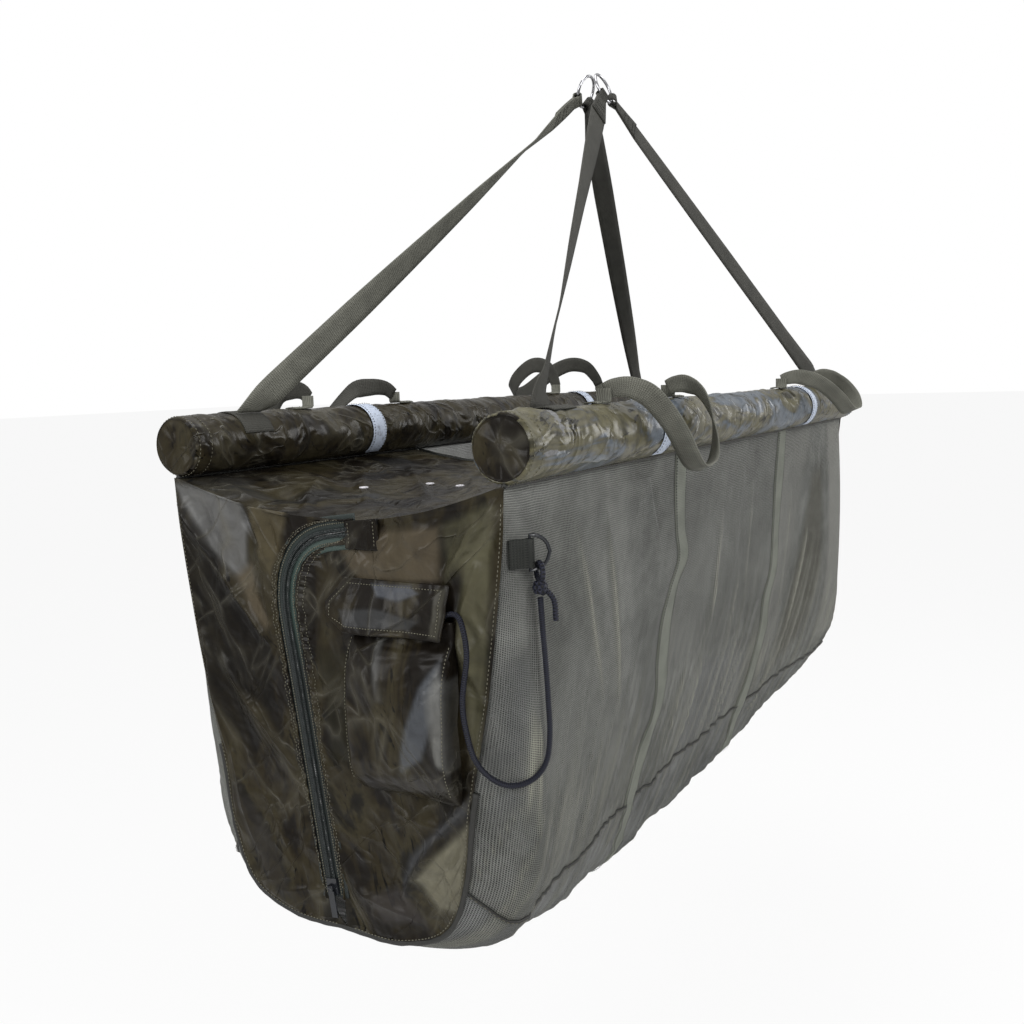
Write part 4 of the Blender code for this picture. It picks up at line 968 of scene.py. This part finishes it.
# How each handle falls, how far it leans along the tube, and its twist in degrees
HANDLE_FORMS = {
    ("zip_end", "near"): (HANDLE_FALL, 0.045, ((0, 0), (0.10, 40), (0.26, 68), (0.40, 45), (0.55, 0),
                                               (1, 0))),
    ("zip_end", "far"): (HANDLE_FLOP, -0.050, ((0, 0), (0.3, 25), (0.6, 0), (1, 0))),
    ("plain_end", "near"): (HANDLE_REACH, 0.020, ((0, 0), (0.2, 35), (0.45, 0), (0.8, -25), (1, 0))),
    ("plain_end", "far"): (HANDLE_ARCH, -0.030, ((0, 0), (0.5, -20), (1, 0))),
}


def make_handle(end_name, side_name):
    end, side = ENDS[end_name], SIDES[side_name]
    form, lean, twist = HANDLE_FORMS[end_name, side_name]
    plan = [(a, 2 * h) for a, h in HANDLE_PLAN] + [(-a, 2 * h) for a, h in HANDLE_PLAN[-2::-1]]
    fall = spline_through(form, 121)
    last = 96
    middles, normals, shares = [], [], []
    for a, h in spline_through(plan, last + 1):
        share = clamp(h / 2)
        low = min(int(share * 120), 119)
        step = fall[low + 1] - fall[low]
        reach, rise = sampled(fall, share)
        over = lean * share ** 2 * (3 - 2 * share)
        middles.append(Vector((end * HANDLE_PLACE + a * HANDLE_SPAN + over,
                               side * (HALF_SPACING + reach), HINGE_Z + rise)))
        normals.append(Vector((0, -side * step[1], step[0])).normalized())
        shares.append(share)
    stations = []
    for i, (middle, normal, share) in enumerate(zip(middles, normals, shares)):
        way = (middles[min(i + 1, last)] - middles[max(i - 1, 0)]).normalized()
        turn = radians(float(np.interp(i / last, *zip(*twist)))) * min(share / 0.3, 1)
        across = normal * cos(turn) + way.cross(normal) * sin(turn)
        width = HANDLE_FOOT + (HANDLE_WIDTH - HANDLE_FOOT) * min(share / 0.35, 1)
        stations.append((middle, across, width / 2))
    name = f"{end_name}_{side_name}"
    # Painted shade: the far side's handles take the darker webbing
    tone = STRAPPING if side < 0 else SHADED_STRAPPING
    thicken(piece(f"handle_loop_{name}", ribbon(stations), tone, [f"carry_handle_{name}"],
                  f"handle_{name}"), WEBBING)
    for foot in ("outer", "inner"):
        node = f"handle_anchor_{name}_{foot}"
        dressed(f"handle_foot_{name}_{foot}", node, STRAPPING, on_tube(side))
        low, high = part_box(node)
        for row, share in enumerate((0.3, 0.7)):
            line = round_tube(side, low[0] + (high[0] - low[0]) * share, 0.0020,
                              np.linspace(0.15, 0.75, 9))
            stitches(f"foot_stitches_{name}_{foot}_{row}", line, outward(side), 0.0026, DARK_THREAD)


for end_name in ENDS:
    for side_name in SIDES:
        make_handle(end_name, side_name)


# Net bag

# Painted highlight colour for the pleats' ridges and gathers. Pleats: place along the wall and height
# of both ends, width and height
PLEAT_HIGHLIGHT = (0.30, 0.30, 0.25)
WALL_PLEATS = metres((
    (-20, -110, -27, -300, 4, 4), (-27, -300, -66, -475, 4, 4), (85, -220, 54, -320, 3, 3.5),
    (54, -320, 10, -460, 3, 3.5), (100, -80, 125, -300, 4, 3), (125, -300, 60, -480, 3, 4),
    (396, -190, 344, -390, 5, 5), (344, -390, 240, -500, 4, 4.5), (300, -100, 290, -360, 4, 3),
    (-100, -300, -130, -460, 4, 3.5), (-120, -340, -190, -470, 3, 3), (160, -330, 90, -490, 3, 4),
    (-480, -60, -380, -300, 10, 3), (-400, -60, -330, -340, 12, 3)))
CORNER_PLEATS = metres((
    (-580, -100, -560, -260, 5, -4), (-570, -200, -575, -360, 6, 3.5), (-590, -300, -560, -440, 6, -3),
    (-565, -60, -562, -420, 4, 3)))
# Painted sheen and shade on the near wall: pale where the net catches the light, darker where it lies
# in shade
WALL_SHEEN_AND_SHADE = (
    patch((0.27, 0.275, 0.29), 0.45, -66, -350, -20, -325, 120, -335, 185, -370, 170, -470, -60, -460),
    patch((0.12, 0.108, 0.072), 0.55, 400, -110, 470, -100, 480, -300, 420, -400, 310, -440, 340, -300),
    patch((0.38, 0.378, 0.345), 0.65, 500, -30, 600, -30, 600, -300, 560, -420, 480, -420, 500, -300),
    patch((0.38, 0.378, 0.345), 0.50, 240, -30, 420, -30, 360, -110, 300, -400, 210, -420, 210, -200),
    patch((0.3, 0.302, 0.28), 0.45, -180, -30, 210, -30, 200, -250, 100, -320, -180, -300),
    patch((0.15, 0.16, 0.185), 0.35, -598, -180, -560, -170, -560, -330, -598, -330),
    patch((0.14, 0.142, 0.118), 0.30, -560, -60, -480, -50, -300, -320, -420, -420, -560, -350))


def gathers(point):
    """Fine gathers that fan down the walls and cross the floor, 1 on their ridges."""
    depth = point.z + DROP
    low = clamp((-depth - 0.20) / 0.14)
    run = noise.noise(Vector(((point.x - depth * 0.30) / 0.024, depth * 2.2 + point.y, 7.0)))
    return low * max(1 - abs(run) * 4.5, 0) ** 1.5


def wall_height(x, z):
    """The height of the pleats of a wall at a place along it and a height."""
    return creased(x, z + DROP, WALL_PLEATS) + creased(x, z + DROP, CORNER_PLEATS)


def make_shape():
    """The shell of net with its pleats, its slack between the tapes and its gathers below."""
    shape = SHELL.copy()
    for row, x in enumerate(BAG_X):
        for column in range(COLUMNS + 1):
            s = column / COLUMNS
            point = Vector(SHELL[row, column])
            hang = min(min(s, 1 - s) / 0.04, 1.0) * min((HALF_LENGTH - abs(x)) / 0.03, 1.0)
            low = clamp((-point.z - 0.85) / 0.08)
            slack = noise.noise(Vector((x / 0.11, s * 2.2, 3.0))) * 0.0050
            slack += noise.noise(Vector((x / 0.030 + s * 2.0, s * 2.5, 9.0))) * 0.0015
            slack += crumple(Vector((x, point.y * 0.35, 5.0)), 0.040, 0.0060) * low
            slack += gathers(point) * 0.0028
            slack += wall_height(point.x if point.y < 0 else x * 0.9 - 0.03, point.z)
            shape[row, column] += SHELL_OUT[row, column] * slack * hang
    return shape


SHAPE = make_shape()


def on_net(row, s, off=0.0):
    """A point of the finished net at a row, which may lie between two, and a share round it."""
    low = min(max(int(row), 0), ROWS - 1)
    column = clamp(s) * COLUMNS
    left = min(int(column), COLUMNS - 1)
    a, b = row - low, column - left
    weights = ((1 - a) * (1 - b), (1 - a) * b, a * (1 - b), a * b)
    corners = ((low, left), (low, left + 1), (low + 1, left), (low + 1, left + 1))
    point = sum(SHAPE[c] * w for c, w in zip(corners, weights))
    return Vector(point + SHELL_OUT[low, left] * off)


def row_of(x):
    return float(np.interp(x, BAG_X, np.arange(ROWS + 1)))


def net_painted_light(point):
    # Painted sheen and shade patches on the near wall, and painted highlights along pleat ridges and
    # gathers
    tints = WALL_SHEEN_AND_SHADE if point.y < 0 else ()
    *tint, cover = tinted(point.x, point.z + DROP, tints, 0.03)
    ridge_highlight = max(wall_height(point.x, point.z), 0) / 0.0035
    line = max(clamp((ridge_highlight - 0.20) * 1.5), gathers(point) * 0.75)
    return (*(line * pale + (1 - line) * tone for pale, tone in zip(PLEAT_HIGHLIGHT, tint)),
            max(cover, line))


def make_net(name, node, start, stop, across, material, width):
    def place(u, v):
        return on_net(v * ROWS, start + (stop - start) * u)
    mesh = laid(place, across, ROWS, width, 2 * HALF_LENGTH, net_painted_light)
    area = sum(face.calc_area() for face in mesh.faces)
    item = piece(name, mesh, material, [node])
    thicken(item, 0.0006, 1)
    length = 2 * HALF_LENGTH * 1.06
    max(width, area / length * 1.02)


make_net("net_wall_near", "mesh_wall_near", 0.0, SEAM, 69, NET, 0.46)
make_net("net_wall_far", "mesh_wall_far", 1 - SEAM, 1.0, 69, NET, 0.46)
make_net("net_floor", "mesh_bottom", SEAM, 1 - SEAM, 62, NET_BOTTOM, 0.41)

TAPE_WIDTH = 0.027
# Where each tape lies, and how far it sways at thousandths of its run
TAPES = {
    "zip_end": (-0.198, metres(((0, 4), (40, 8), (75, 20), (105, 40), (130, 15), (160, -2), (200, -3),
                                (235, 8), (260, 4), (280, -12), (300, -25), (330, -32), (380, -20),
                                (500, 0), (1000, 0)))),
    "plain_end": (0.228, metres(((0, -4), (60, -8), (120, -2), (170, 6), (205, -12), (250, -6),
                                 (310, -20), (360, -30), (500, 0), (1000, 0)))),
}


def make_tape(end_name):
    """A tape sewn down, with one edge lifted and curling a little."""
    x, sways = TAPES[end_name]
    run = spline_through([(share * 4, sway * 4) for share, sway in sways], 241) / 4

    def place(u, v, off=0.0):
        share, sway = sampled(run, v)
        here = row_of(x + sway + TAPE_WIDTH * (u - 0.5))
        lift = 0.0014 + 0.0042 * u * (0.75 + 0.25 * sin(share * 40))
        return on_net(here, share, lift + off)
    thicken(piece(f"side_tape_{end_name}", laid(place, 6, 300, TAPE_WIDTH, 1.34), TAPE,
                  [f"webbing_tape_{end_name}"]), 0.0007, 1)
    for edge, u, radius in (("sewn", 0.05, 0.0007), ("loose", 0.90, 0.0004)):
        line = [place(u, v, 0.0011) for v in np.linspace(0.003, 0.997, 300)]
        stitches(f"tape_stitches_{end_name}_{edge}", line,
                 lambda p: Vector((0, p.y, p.z + 0.70)).normalized(), 0.0036, DARK_THREAD, radius)


def make_seam(name, s, radius, pitch):
    """A folded seam along the bag, where a wall meets the floor or a tube."""
    def place(u, v):
        turn = 2 * pi * u
        middle = on_net(v * ROWS, s, 0.0012)
        return middle + Vector((0, cos(turn), sin(turn))) * radius
    piece(name, closed(laid(place, 6, ROWS, 0.012, 2 * HALF_LENGTH)), BINDING)
    line = [on_net(v * ROWS, s, radius + 0.001) for v in np.linspace(0.005, 0.995, 260)]
    stitches(f"{name}_stitches", line, (0, -1 if s < 0.5 else 1, 0), pitch)


for end_name in ENDS:
    make_tape(end_name)
for side_name, low, top in (("near", SEAM, 0.0), ("far", 1 - SEAM, 1.0)):
    make_seam(f"seam_{side_name}", low, 0.0019, 0.0055)
    make_seam(f"tube_seam_{side_name}", top, 0.0024, 0.0046)


# Hoods

HEM_WIDTH = 0.027
HOOD_FOLDS = metres((
    (-425, 150, -590, 40, 7, 4.5), (-330, 170, -560, -20, 8, 4), (-260, 150, -540, -90, 8, 4),
    (-240, 80, -520, -130, 7, 3.5), (-600, -178, -440, -95, 9, 7), (-600, -180, -420, -150, 6, -4),
    (-560, 170, -600, 60, 6, 4), (-600, 188, -480, 150, 7, 5), (-300, 185, -380, 60, 8, 3.5),
    (-210, 20, -420, -60, 8, 3)))
# Painted sheen on the hood cloth: grey patches where its gloss catches the light
HOOD_SHEEN = (
    patch((0.09, 0.094, 0.1), 0.45, -600, 188, -520, 180, -560, 90, -598, 110),
    patch((0.075, 0.078, 0.082), 0.50, -300, 175, -240, 170, -270, 110, -330, 120),
    patch((0.06, 0.052, 0.034), 0.50, -560, 30, -520, 60, -530, -30, -580, -60),
    patch((0.07, 0.074, 0.08), 0.45, -480, 60, -440, 75, -450, 30, -490, 20))
EYELETS = metres((
    (-442.9, 77.8), (-371, 40.1), (-363.1, 5)))


def hood_point(end, y, run):
    """The cloth between the tubes at the ends of the mouth. The run is from the end cloth in."""
    share = run / (HALF_LENGTH - MOUTH)
    z = top_edge(y, PANEL_SAG + (MOUTH_SAG - PANEL_SAG) * share)
    x = HALF_LENGTH - run
    free = 1 - abs(y / HALF_SPACING) ** 6
    bend = crumple(Vector((x * 0.75 + y * 0.3, (y - x * 0.6) * 0.35, end * 2.0)), 0.060, 0.0085)
    bend += crumple(Vector((x + y * 0.6, y * 0.8, end * 5.0)), 0.035, 0.0022)
    bend += creased(-x, y, HOOD_FOLDS)
    ease = min(run / 0.012, 1) * min((HALF_LENGTH - MOUTH - run) / 0.01 + 0.3, 1)
    return Vector((end * x, y, z + bend * free * ease))


def make_hood(end_name, end):
    def place(u, v):
        return hood_point(end, end * (HALF_SPACING - 0.003) * (2 * u - 1), (HALF_LENGTH - MOUTH) * v)

    def tint(point):
        return tinted(-abs(point.x), point.y, HOOD_SHEEN, 0.02)
    sewn_cloth(f"hood_cloth_{end_name}", laid(place, 130, 130, 0.38, 0.41, tint), HOOD_CLOTH,
               f"hood_{end_name}", (0.41, 0.41), offset=-1)

    def hem(u, v):
        y = 0.180 * (2 * u - 1)
        return Vector((end * (MOUTH - 0.0003 - 0.0008 * sin(u * 60)), y,
                       top_edge(y, MOUTH_SAG) - 0.011 + HEM_WIDTH * (0.5 - v)))
    thicken(piece(f"hood_band_{end_name}", laid(hem, 80, 4, 0.36, HEM_WIDTH), DARK_STRAPPING,
                  [f"hood_hem_{end_name}"]), WEBBING)
    for row, v in enumerate((0.12, 0.90)):
        line = [hem(u, v) - ALONG * end * 0.001 for u in np.linspace(0.01, 0.99, 80)]
        stitches(f"hem_stitches_{end_name}_{row}", line, (-end, 0, 0), 0.0045)


def make_eyelets():
    for i, (x, y) in enumerate(EYELETS):
        point = hood_point(-1, y, HALF_LENGTH + x)
        mesh = bmesh.new()
        edge = bmesh.ops.create_circle(mesh, segments=10, radius=0.0009)["verts"]
        bmesh.ops.rotate(mesh, matrix=Matrix.Rotation(pi / 2, 3, "X"), verts=edge)
        bmesh.ops.translate(mesh, vec=(0.0042, 0, 0), verts=edge)
        bmesh.ops.spin(mesh, geom=mesh.verts[:] + mesh.edges[:], axis=(0, 0, 1), angle=2 * pi,
                       steps=28, use_merge=True)
        bmesh.ops.remove_doubles(mesh, verts=mesh.verts, dist=0.00002)
        bmesh.ops.recalc_face_normals(mesh, faces=mesh.faces)
        bmesh.ops.translate(mesh, vec=point + UP * 0.0006, verts=mesh.verts)
        piece(f"drain_eyelet_{i}", mesh, EYELET)


for end_name, end in ENDS.items():
    make_hood(end_name, end)
make_eyelets()


# End cloths and zip

ZIP_PATH = metres((
    (-36, -75.2), (8, -82), (32.7, -95.4), (46.7, -115.8), (52, -136), (52, -160), (44, -215.6),
    (36, -271.2), (28, -326.8), (20, -382.4), (12, -438)))
ZIP_LINE = spline_through(ZIP_PATH, 121)
ZIP_GAP, ZIP_TAPE, ZIP_ROW = 0.0115, 0.0156, 0.0088
COIL_TURNS, COIL_STEPS, COIL_REACH = 250, 8, 0.0024
PANEL_EDGE = spline_through([(-a * (HALF_SPACING + 0.003 * a), -0.0314 - b * (PANEL_DEPTH + 0.003))
                             for a, b in PANEL_SHARES], 121)
# Painted sheen and shade on the zip end cloth: taupe, brown, gold and olive sheen where facets catch
# the light, near-black painted shade, and a few tints of the print such as the slate streaks
TAUPE_SHEEN, BROWN_SHEEN, GOLD_SHEEN = (0.135, 0.135, 0.132), (0.105, 0.085, 0.056), (0.120, 0.100, 0.058)
OLIVE_SHEEN, NIGHT_SHADE, SLATE = (0.125, 0.118, 0.072), (0.006, 0.005, 0.004), (0.075, 0.078, 0.085)
PANEL_SHEEN_AND_SHADE = (
    patch(TAUPE_SHEEN, 0.95,
          199, -34, 160, -38, 106, -49, 93, -71, 102, -111, 86, -135, 114, -131, 145, -108, 170, -74),
    patch(BROWN_SHEEN, 0.95, 118, -128, 96, -112, 86, -149, 70, -170, 80, -180, 100, -160),
    patch(NIGHT_SHADE, 0.9,
          195, -42, 145, -110, 103, -166, 75, -188, 78, -249, 109, -315, 159, -259, 180, -150),
    patch(GOLD_SHEEN, 0.75, 92, -52, 43, -52, 55, -88, 70, -130, 86, -100),
    patch((0.05, 0.042, 0.024), 0.7, 128, -238, 85, -262, 50, -305, 48, -320, 95, -290),
    patch(BROWN_SHEEN, 0.85, -10, -90, -45, -75, -127, -66, -126, -118, -36, -126),
    patch((0.085, 0.08, 0.048), 0.8, -127, -66, -175, -45, -185, -48, -170, -90, -130, -118),
    patch(OLIVE_SHEEN, 0.8, -150, -90, -183, -50, -173, -164, -160, -300, -150, -250, -138, -168),
    patch((0.17, 0.16, 0.115), 0.95, -148, -330, -135, -420, -109, -425, -85, -395, -112, -365),
    patch(SLATE, 0.8, -150, -305, -146, -325, -110, -357, -82, -396, -70, -420, -80, -375, -115, -340),
    patch((0.06, 0.054, 0.052), 0.7, -30, -425, -75, -405, -95, -440, -45, -452),
    patch((0.034, 0.03, 0.026), 0.7, 150, -330, 110, -360, 70, -430, 60, -455, 110, -430),
    patch((0.024, 0.022, 0.012), 0.7, -34, -190, 20, -190, 5, -300, -30, -300))
PANEL_FOLDS = metres((
    (203, -40, 146, -110, 5, 9), (146, -110, 73, -195, 5, 8), (109, -52, 82, -100, 4, -6),
    (95, -48, 72, -110, 4, 6), (82, -95, 71, -188, 5, 6), (75, -60, 60, -110, 3, -4),
    (-129, -119, -188, -41, 5, 8), (-129, -119, -168, -56, 4, 5), (-125, -112, -150, -50, 4, -4),
    (-38, -121, -127, -62, 5, 6), (-35, -95, -42, -125, 3, 4), (-60, -78, -70, -122, 4, 5),
    (-164, -95, -140, -165, 4, 5), (-138, -160, -166, -217, 5, 6), (-166, -217, -150, -300, 5, 5),
    (-147, -309, -113, -350, 5, 10), (-113, -350, -67, -425, 6, 10), (-140, -345, -100, -410, 5, -4),
    (-125, -420, -112, -365, 3, 4), (150, -210, 50, -316, 6, 7), (175, -160, 140, -330, 6, 5),
    (147, -279, 108, -421, 5, 4), (120, -300, 60, -420, 5, 3), (50, -316, 48, -400, 4, 4),
    (-16, -210, -30, -300, 4, 3), (-60, -335, -120, -345, 5, 4), (-10, -420, -90, -440, 6, 6),
    (20, -430, 80, -445, 5, 4)))


def zip_at(share):
    point = sampled(ZIP_LINE, share)
    step = sampled(ZIP_LINE, min(share + 0.01, 1)) - sampled(ZIP_LINE, max(share - 0.01, 0))
    step = step / np.linalg.norm(step)
    return point, np.array([-step[1], step[0]])


def end_bulge(y, z):
    """How far an end cloth stands out of its plane, in facets, folds and puckers by the zip."""
    wide = crumple(Vector((y * 1.1 - z * 0.3, z * 0.55 + y * 0.25, 1.0)), 0.075, 0.0090)
    fine = crumple(Vector((y + z * 0.2, z * 0.6, 4.0)), 0.026, 0.0018)
    return wide + fine + creased(y, z, PANEL_FOLDS)


def under_lid(y, z):
    """The most that the end cloth may stand out where the opened lid lies back on it."""
    above = z - DROP - FLAP_TOP
    aside = max(-y - 0.136, 0) + max(y + 0.001, 0) + max(above - 0.054, 0)
    return 0.10 * max(above, 0) - 0.0010 + 0.3 * max(-above, 0) + 1.5 * aside


def make_zip_panel(side_name, side):
    def place(u, v):
        point, across = zip_at(v)
        inner = point + across * side * ZIP_GAP
        edge = sampled(PANEL_EDGE, v)
        y, z = np.array([side * -edge[0], edge[1]]) * (1 - u) + inner * u
        droop = top_edge(y, PANEL_SAG) + DROP - z
        z += droop * (1 - v) ** 20 * min(u / 0.05, 1) * min((1 - u) / 0.06, 1) ** 0.5
        free = min(u / 0.06, 1) * min((1 - u) / 0.05, 1)
        free *= min(v / 0.03, 1) * min((1 - v) / 0.03 + 0.2, 1)
        pucker = 0.0014 * (1 + sin(v * 260 + sin(v * 47) * 2))
        pucker *= max(1 - abs(1 - u - 0.03) / 0.05, 0)
        out = min(end_bulge(y, z) * free + pucker, under_lid(y, z))
        return Vector((-HALF_LENGTH - 0.0018 - out, y, z - DROP))

    def tint(point):
        return tinted(point.y, point.z + DROP, PANEL_SHEEN_AND_SHADE, 0.010)
    sewn_cloth(f"end_cloth_zip_{side_name}", laid(place, 96, 230, 0.19, 0.44, tint), PANEL_CLOTH,
               f"end_panel_zip_{side_name}", (0.22, 0.47))
    stitches(f"edge_stitches_{side_name}", down(place, 0.012, 0.03, 0.99, 200, 0.0006), -ALONG, 0.0040,
             THREAD, 0.0005)
    for row, u in enumerate((0.985, 0.955)):
        stitches(f"zip_seam_{side_name}_{row}", down(place, u, 0.03, 0.98, 260, 0.0006), -ALONG, 0.0034)


def make_plain_panel():
    def place(u, v):
        edge = sampled(PANEL_EDGE, v)
        y, z = edge[0] * (1 - 2 * u), edge[1]
        z += (top_edge(y, PANEL_SAG) + DROP - z) * (1 - v) ** 6
        free = min(min(u, 1 - u) / 0.04, 1) * min(v / 0.03, 1)
        return Vector((HALF_LENGTH + 0.0012 + end_bulge(-y, z) * free * 0.6, y, z - DROP))
    sewn_cloth("end_cloth_plain", laid(place, 130, 160, 0.38, 0.44), PANEL_CLOTH, "end_panel_plain",
               (0.40, 0.47))


def make_binding(end_name, end):
    """The dark rolled binding round the lower edge of an end cloth."""
    edge = [(y, z) for y, z in PANEL_EDGE if z < -0.30]
    line = spline_through(edge + [(-y, z) for y, z in reversed(edge)], 120)

    def place(u, v):
        y, z = line[round(v * 119)]
        turn = 2 * pi * u
        swell = 0.0030 + 0.0007 * noise.noise(Vector((y, z, 2.0)) / 0.01)
        away = Vector((0, y, z + 0.25)).normalized()
        return (Vector((end * (HALF_LENGTH + 0.0004), y, z - DROP))
                + away * (0.0022 + swell * cos(turn)) + ALONG * swell * 0.9 * sin(turn))
    piece(f"binding_{end_name}", closed(laid(place, 10, 119, 0.02, 0.6)), BINDING)


def zip_place(share, reach, low):
    point, across = zip_at(share)
    y, z = point + across * reach
    return Vector((-HALF_LENGTH - low, y, z - DROP))


def make_zip_side(side_name, side):
    """One half of the zip: its tape, and a coil whose turns show as a row of teeth."""
    def place(u, v):
        return zip_place(v, side * (0.0007 + ZIP_TAPE * u), 0.0003 + 0.0006 * sin(u * pi))

    # Painted light: the tape is marked lit near its top, strongly on the near side; the rest shows
    # painted shade
    def tint(point):
        lit = 1 - clamp((abs(point.z + DROP) - 0.16) / 0.05)
        return (0, 0, 0, lit * (0.9 if side < 0 else 0.15))
    thicken(piece(f"zip_cloth_{side_name}", laid(place, 8, 160, 0.0163, 0.40, tint), ZIP_CLOTH,
                  [f"zip_tape_{side_name}"]), 0.0007)
    data = bpy.data.curves.new(f"zip_teeth_{side_name}", "CURVE")
    data.dimensions = "3D"
    line = data.splines.new("POLY")
    line.points.add(COIL_TURNS * COIL_STEPS)
    for i, knot in enumerate(line.points):
        angle = 2 * pi * i / COIL_STEPS
        reach = side * (COIL_REACH + 0.0019 * cos(angle))
        share = 0.004 + 0.992 * i / (COIL_TURNS * COIL_STEPS)
        knot.co = (*zip_place(share, reach, 0.0026 + 0.0011 * sin(angle)), 1.0)
    data.bevel_depth, data.bevel_resolution = 0.00042, 0
    placed(bpy.data.objects.new(f"zip_teeth_{side_name}", data), COIL, [f"zip_coil_{side_name}"])
    line = [zip_place(v, side * ZIP_ROW, 0.0017) for v in np.linspace(0.005, 0.995, 200)]
    stitches(f"zip_row_{side_name}", line, -ALONG, 0.0026, THREAD, 0.0007)


def make_zip_stop():
    """The scrap of cloth sewn over the top end of the zip."""
    y0, z0 = ZIP_PATH[0]

    def place(u, v):
        y = y0 - 0.026 + 0.038 * u
        top = top_edge(y, PANEL_SAG) + 0.0008
        z = top + (z0 - 0.017 - DROP - top) * v
        swell = 0.0012 * sin(pi * u) + 0.0006 * sin(9 * u + 5 * v)
        return Vector((-HALF_LENGTH - 0.0030 - swell * sin(pi * (0.2 + 0.8 * v)), y, z))
    thicken(piece("zip_stop", laid(place, 20, 16, 0.038, 0.034), PANEL_CLOTH, ()),
            0.0008, 1)
    for row, u in enumerate((0.12, 0.88)):
        stitches(f"zip_stop_stitches_{row}", down(place, u, 0.08, 0.92, 14, 0.0012), -ALONG, 0.0034)


for side_name, side in SIDES.items():
    make_zip_panel(side_name, side)
    make_zip_side(side_name, side)
make_zip_stop()
make_plain_panel()
for end_name, end in ENDS.items():
    make_binding(end_name, end)
for node in ("zip_slider", "zip_pull", "d_ring"):
    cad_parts[node].data.materials[0] = GUNMETAL


# Pocket and its lid

POCKET_EDGE, POCKET_WIDTH = 0.032, 0.108
FLAP_EDGE, FLAP_WIDTH, FLAP_DROP = 0.003, 0.133, 0.051
POCKET_PROFILE = metres((
    (150, 8), (168, 9.5), (182, 19), (198, 25.5), (225, 28), (270, 27.5), (298, 21), (312, 9),
    (317, 2)))
POCKET_WRAP = ((0.0, 0.0), (0.0, 0.70), (0.03, 0.93), (0.10, 1.0), (0.5, 1.04), (0.9, 1.0),
               (0.97, 0.93), (1.0, 0.70), (1.0, 0.0))
# Painted sheen and shade on the pocket: pale grey and blue-white sheen, and a darker band of painted
# shade at its foot
POCKET_SHEEN_AND_SHADE = (
    patch((0.11, 0.11, 0.105), 0.8, -60, -168, -70, -168, -78, -222, -72, -222),
    patch((0.115, 0.125, 0.14), 0.8,
          -134, -180, -117, -205, -100, -245, -90, -288, -118, -270, -132, -240, -140, -205),
    patch((0.24, 0.24, 0.225), 0.8, -134, -190, -127, -215, -133, -270, -140, -280, -140, -200),
    patch((0.06, 0.057, 0.055), 0.7, -40, -300, -138, -280, -140, -300, -40, -318))
POCKET_FOLDS = metres((
    (-122, -195, -140, -295, 4, 5), (-134, -185, -98, -275, 5, 4.5), (-66, -168, -76, -225, 3, 3.5),
    (-110, -190, -92, -240, 4, -3), (-60, -200, -85, -280, 6, 3), (-127, -210, -139, -250, 3, -3)))
# Painted sheen on the lid: grey-blue and grey-brown patches where its gloss catches the light
FLAP_SHEEN = (
    patch((0.1, 0.108, 0.125), 0.85, -52, -4, -95, -3, -106, -10, -85, -19, -60, -16),
    patch((0.062, 0.064, 0.066), 0.75, -20, -30, -60, -26, -110, -34, -100, -44, -30, -46),
    patch((0.07, 0.066, 0.05), 0.8, -122, -3, -134, -3, -134, -48, -122, -48))


def make_pocket():
    profile = spline_through([(-DROP - z, depth) for z, depth in POCKET_PROFILE], 81)
    wrap_line = spline_through(POCKET_WRAP, 81)

    def place(u, v):
        z, depth = sampled(profile, v)
        across, out = sampled(wrap_line, u)
        y = -POCKET_EDGE - POCKET_WIDTH * across
        dent = crumple(Vector((y, z * 0.5, 2.0)), 0.034, 0.0034) + creased(y, z + DROP, POCKET_FOLDS)
        stand = max(depth * out + dent * min(out, 1) * min(v / 0.1, 1), 0.0003)
        return Vector((-0.6015 - stand, y, z))

    def tint(point):
        return tinted(point.y, point.z + DROP, POCKET_SHEEN_AND_SHADE)
    sewn_cloth("pocket_bag", laid(place, 90, 90, 0.16, 0.19, tint), PANEL_CLOTH, "pocket_body",
               (0.17, 0.20))
    for name, u in (("left", 0.30), ("right", 0.70)):
        stitches(f"pocket_stitches_{name}", down(place, u, 0.12, 0.90, 60, 0.0010), -ALONG, 0.0034,
                 THREAD, 0.0005)


def make_flap():
    """The flap, hanging from its top seam, with cut corners and a stitched border."""
    tilt = radians(20)
    left = ((0.0, 0.14), (0.47, 0.0), (0.72, 0.03), (1.0, 0.20))

    def place(u, v, off=0.0):
        start = float(np.interp(v, *zip(*left)))
        y = -FLAP_EDGE - FLAP_WIDTH * (start + (1 - start) * u)
        drop = FLAP_DROP * v * (1 - 0.03 * u)
        dent = crumple(Vector((y * 0.7, drop, 5.0)), 0.024, 0.0022) * min(v / 0.2, 1)
        curl = 0.003 * v ** 3 * sin(u * 7)
        return Vector((-0.6029 - sin(tilt) * drop - dent - curl - off, y,
                       FLAP_TOP - cos(tilt) * drop))

    def tint(point):
        return tinted(point.y, (point.z - FLAP_TOP) / cos(tilt), FLAP_SHEEN, 0.004)
    thicken(piece("pocket_lid", laid(place, 90, 40, FLAP_WIDTH, FLAP_DROP, tint), PANEL_CLOTH,
                  ["pocket_flap"], "flap"), 0.0014)
    border = ((0.06, 0.10), (0.94, 0.10), (0.95, 0.90), (0.10, 0.88), (0.03, 0.72), (0.04, 0.47),
              (0.06, 0.10))
    for i, ((u0, v0), (u1, v1)) in enumerate(zip(border, border[1:])):
        line = [place(u0 + (u1 - u0) * t, v0 + (v1 - v0) * t, 0.0009) for t in np.linspace(0, 1, 40)]
        stitches(f"flap_stitches_{i}", line, (-1, 0, 0.2), 0.0032, THREAD, 0.00045, "flap")


make_pocket()
make_flap()
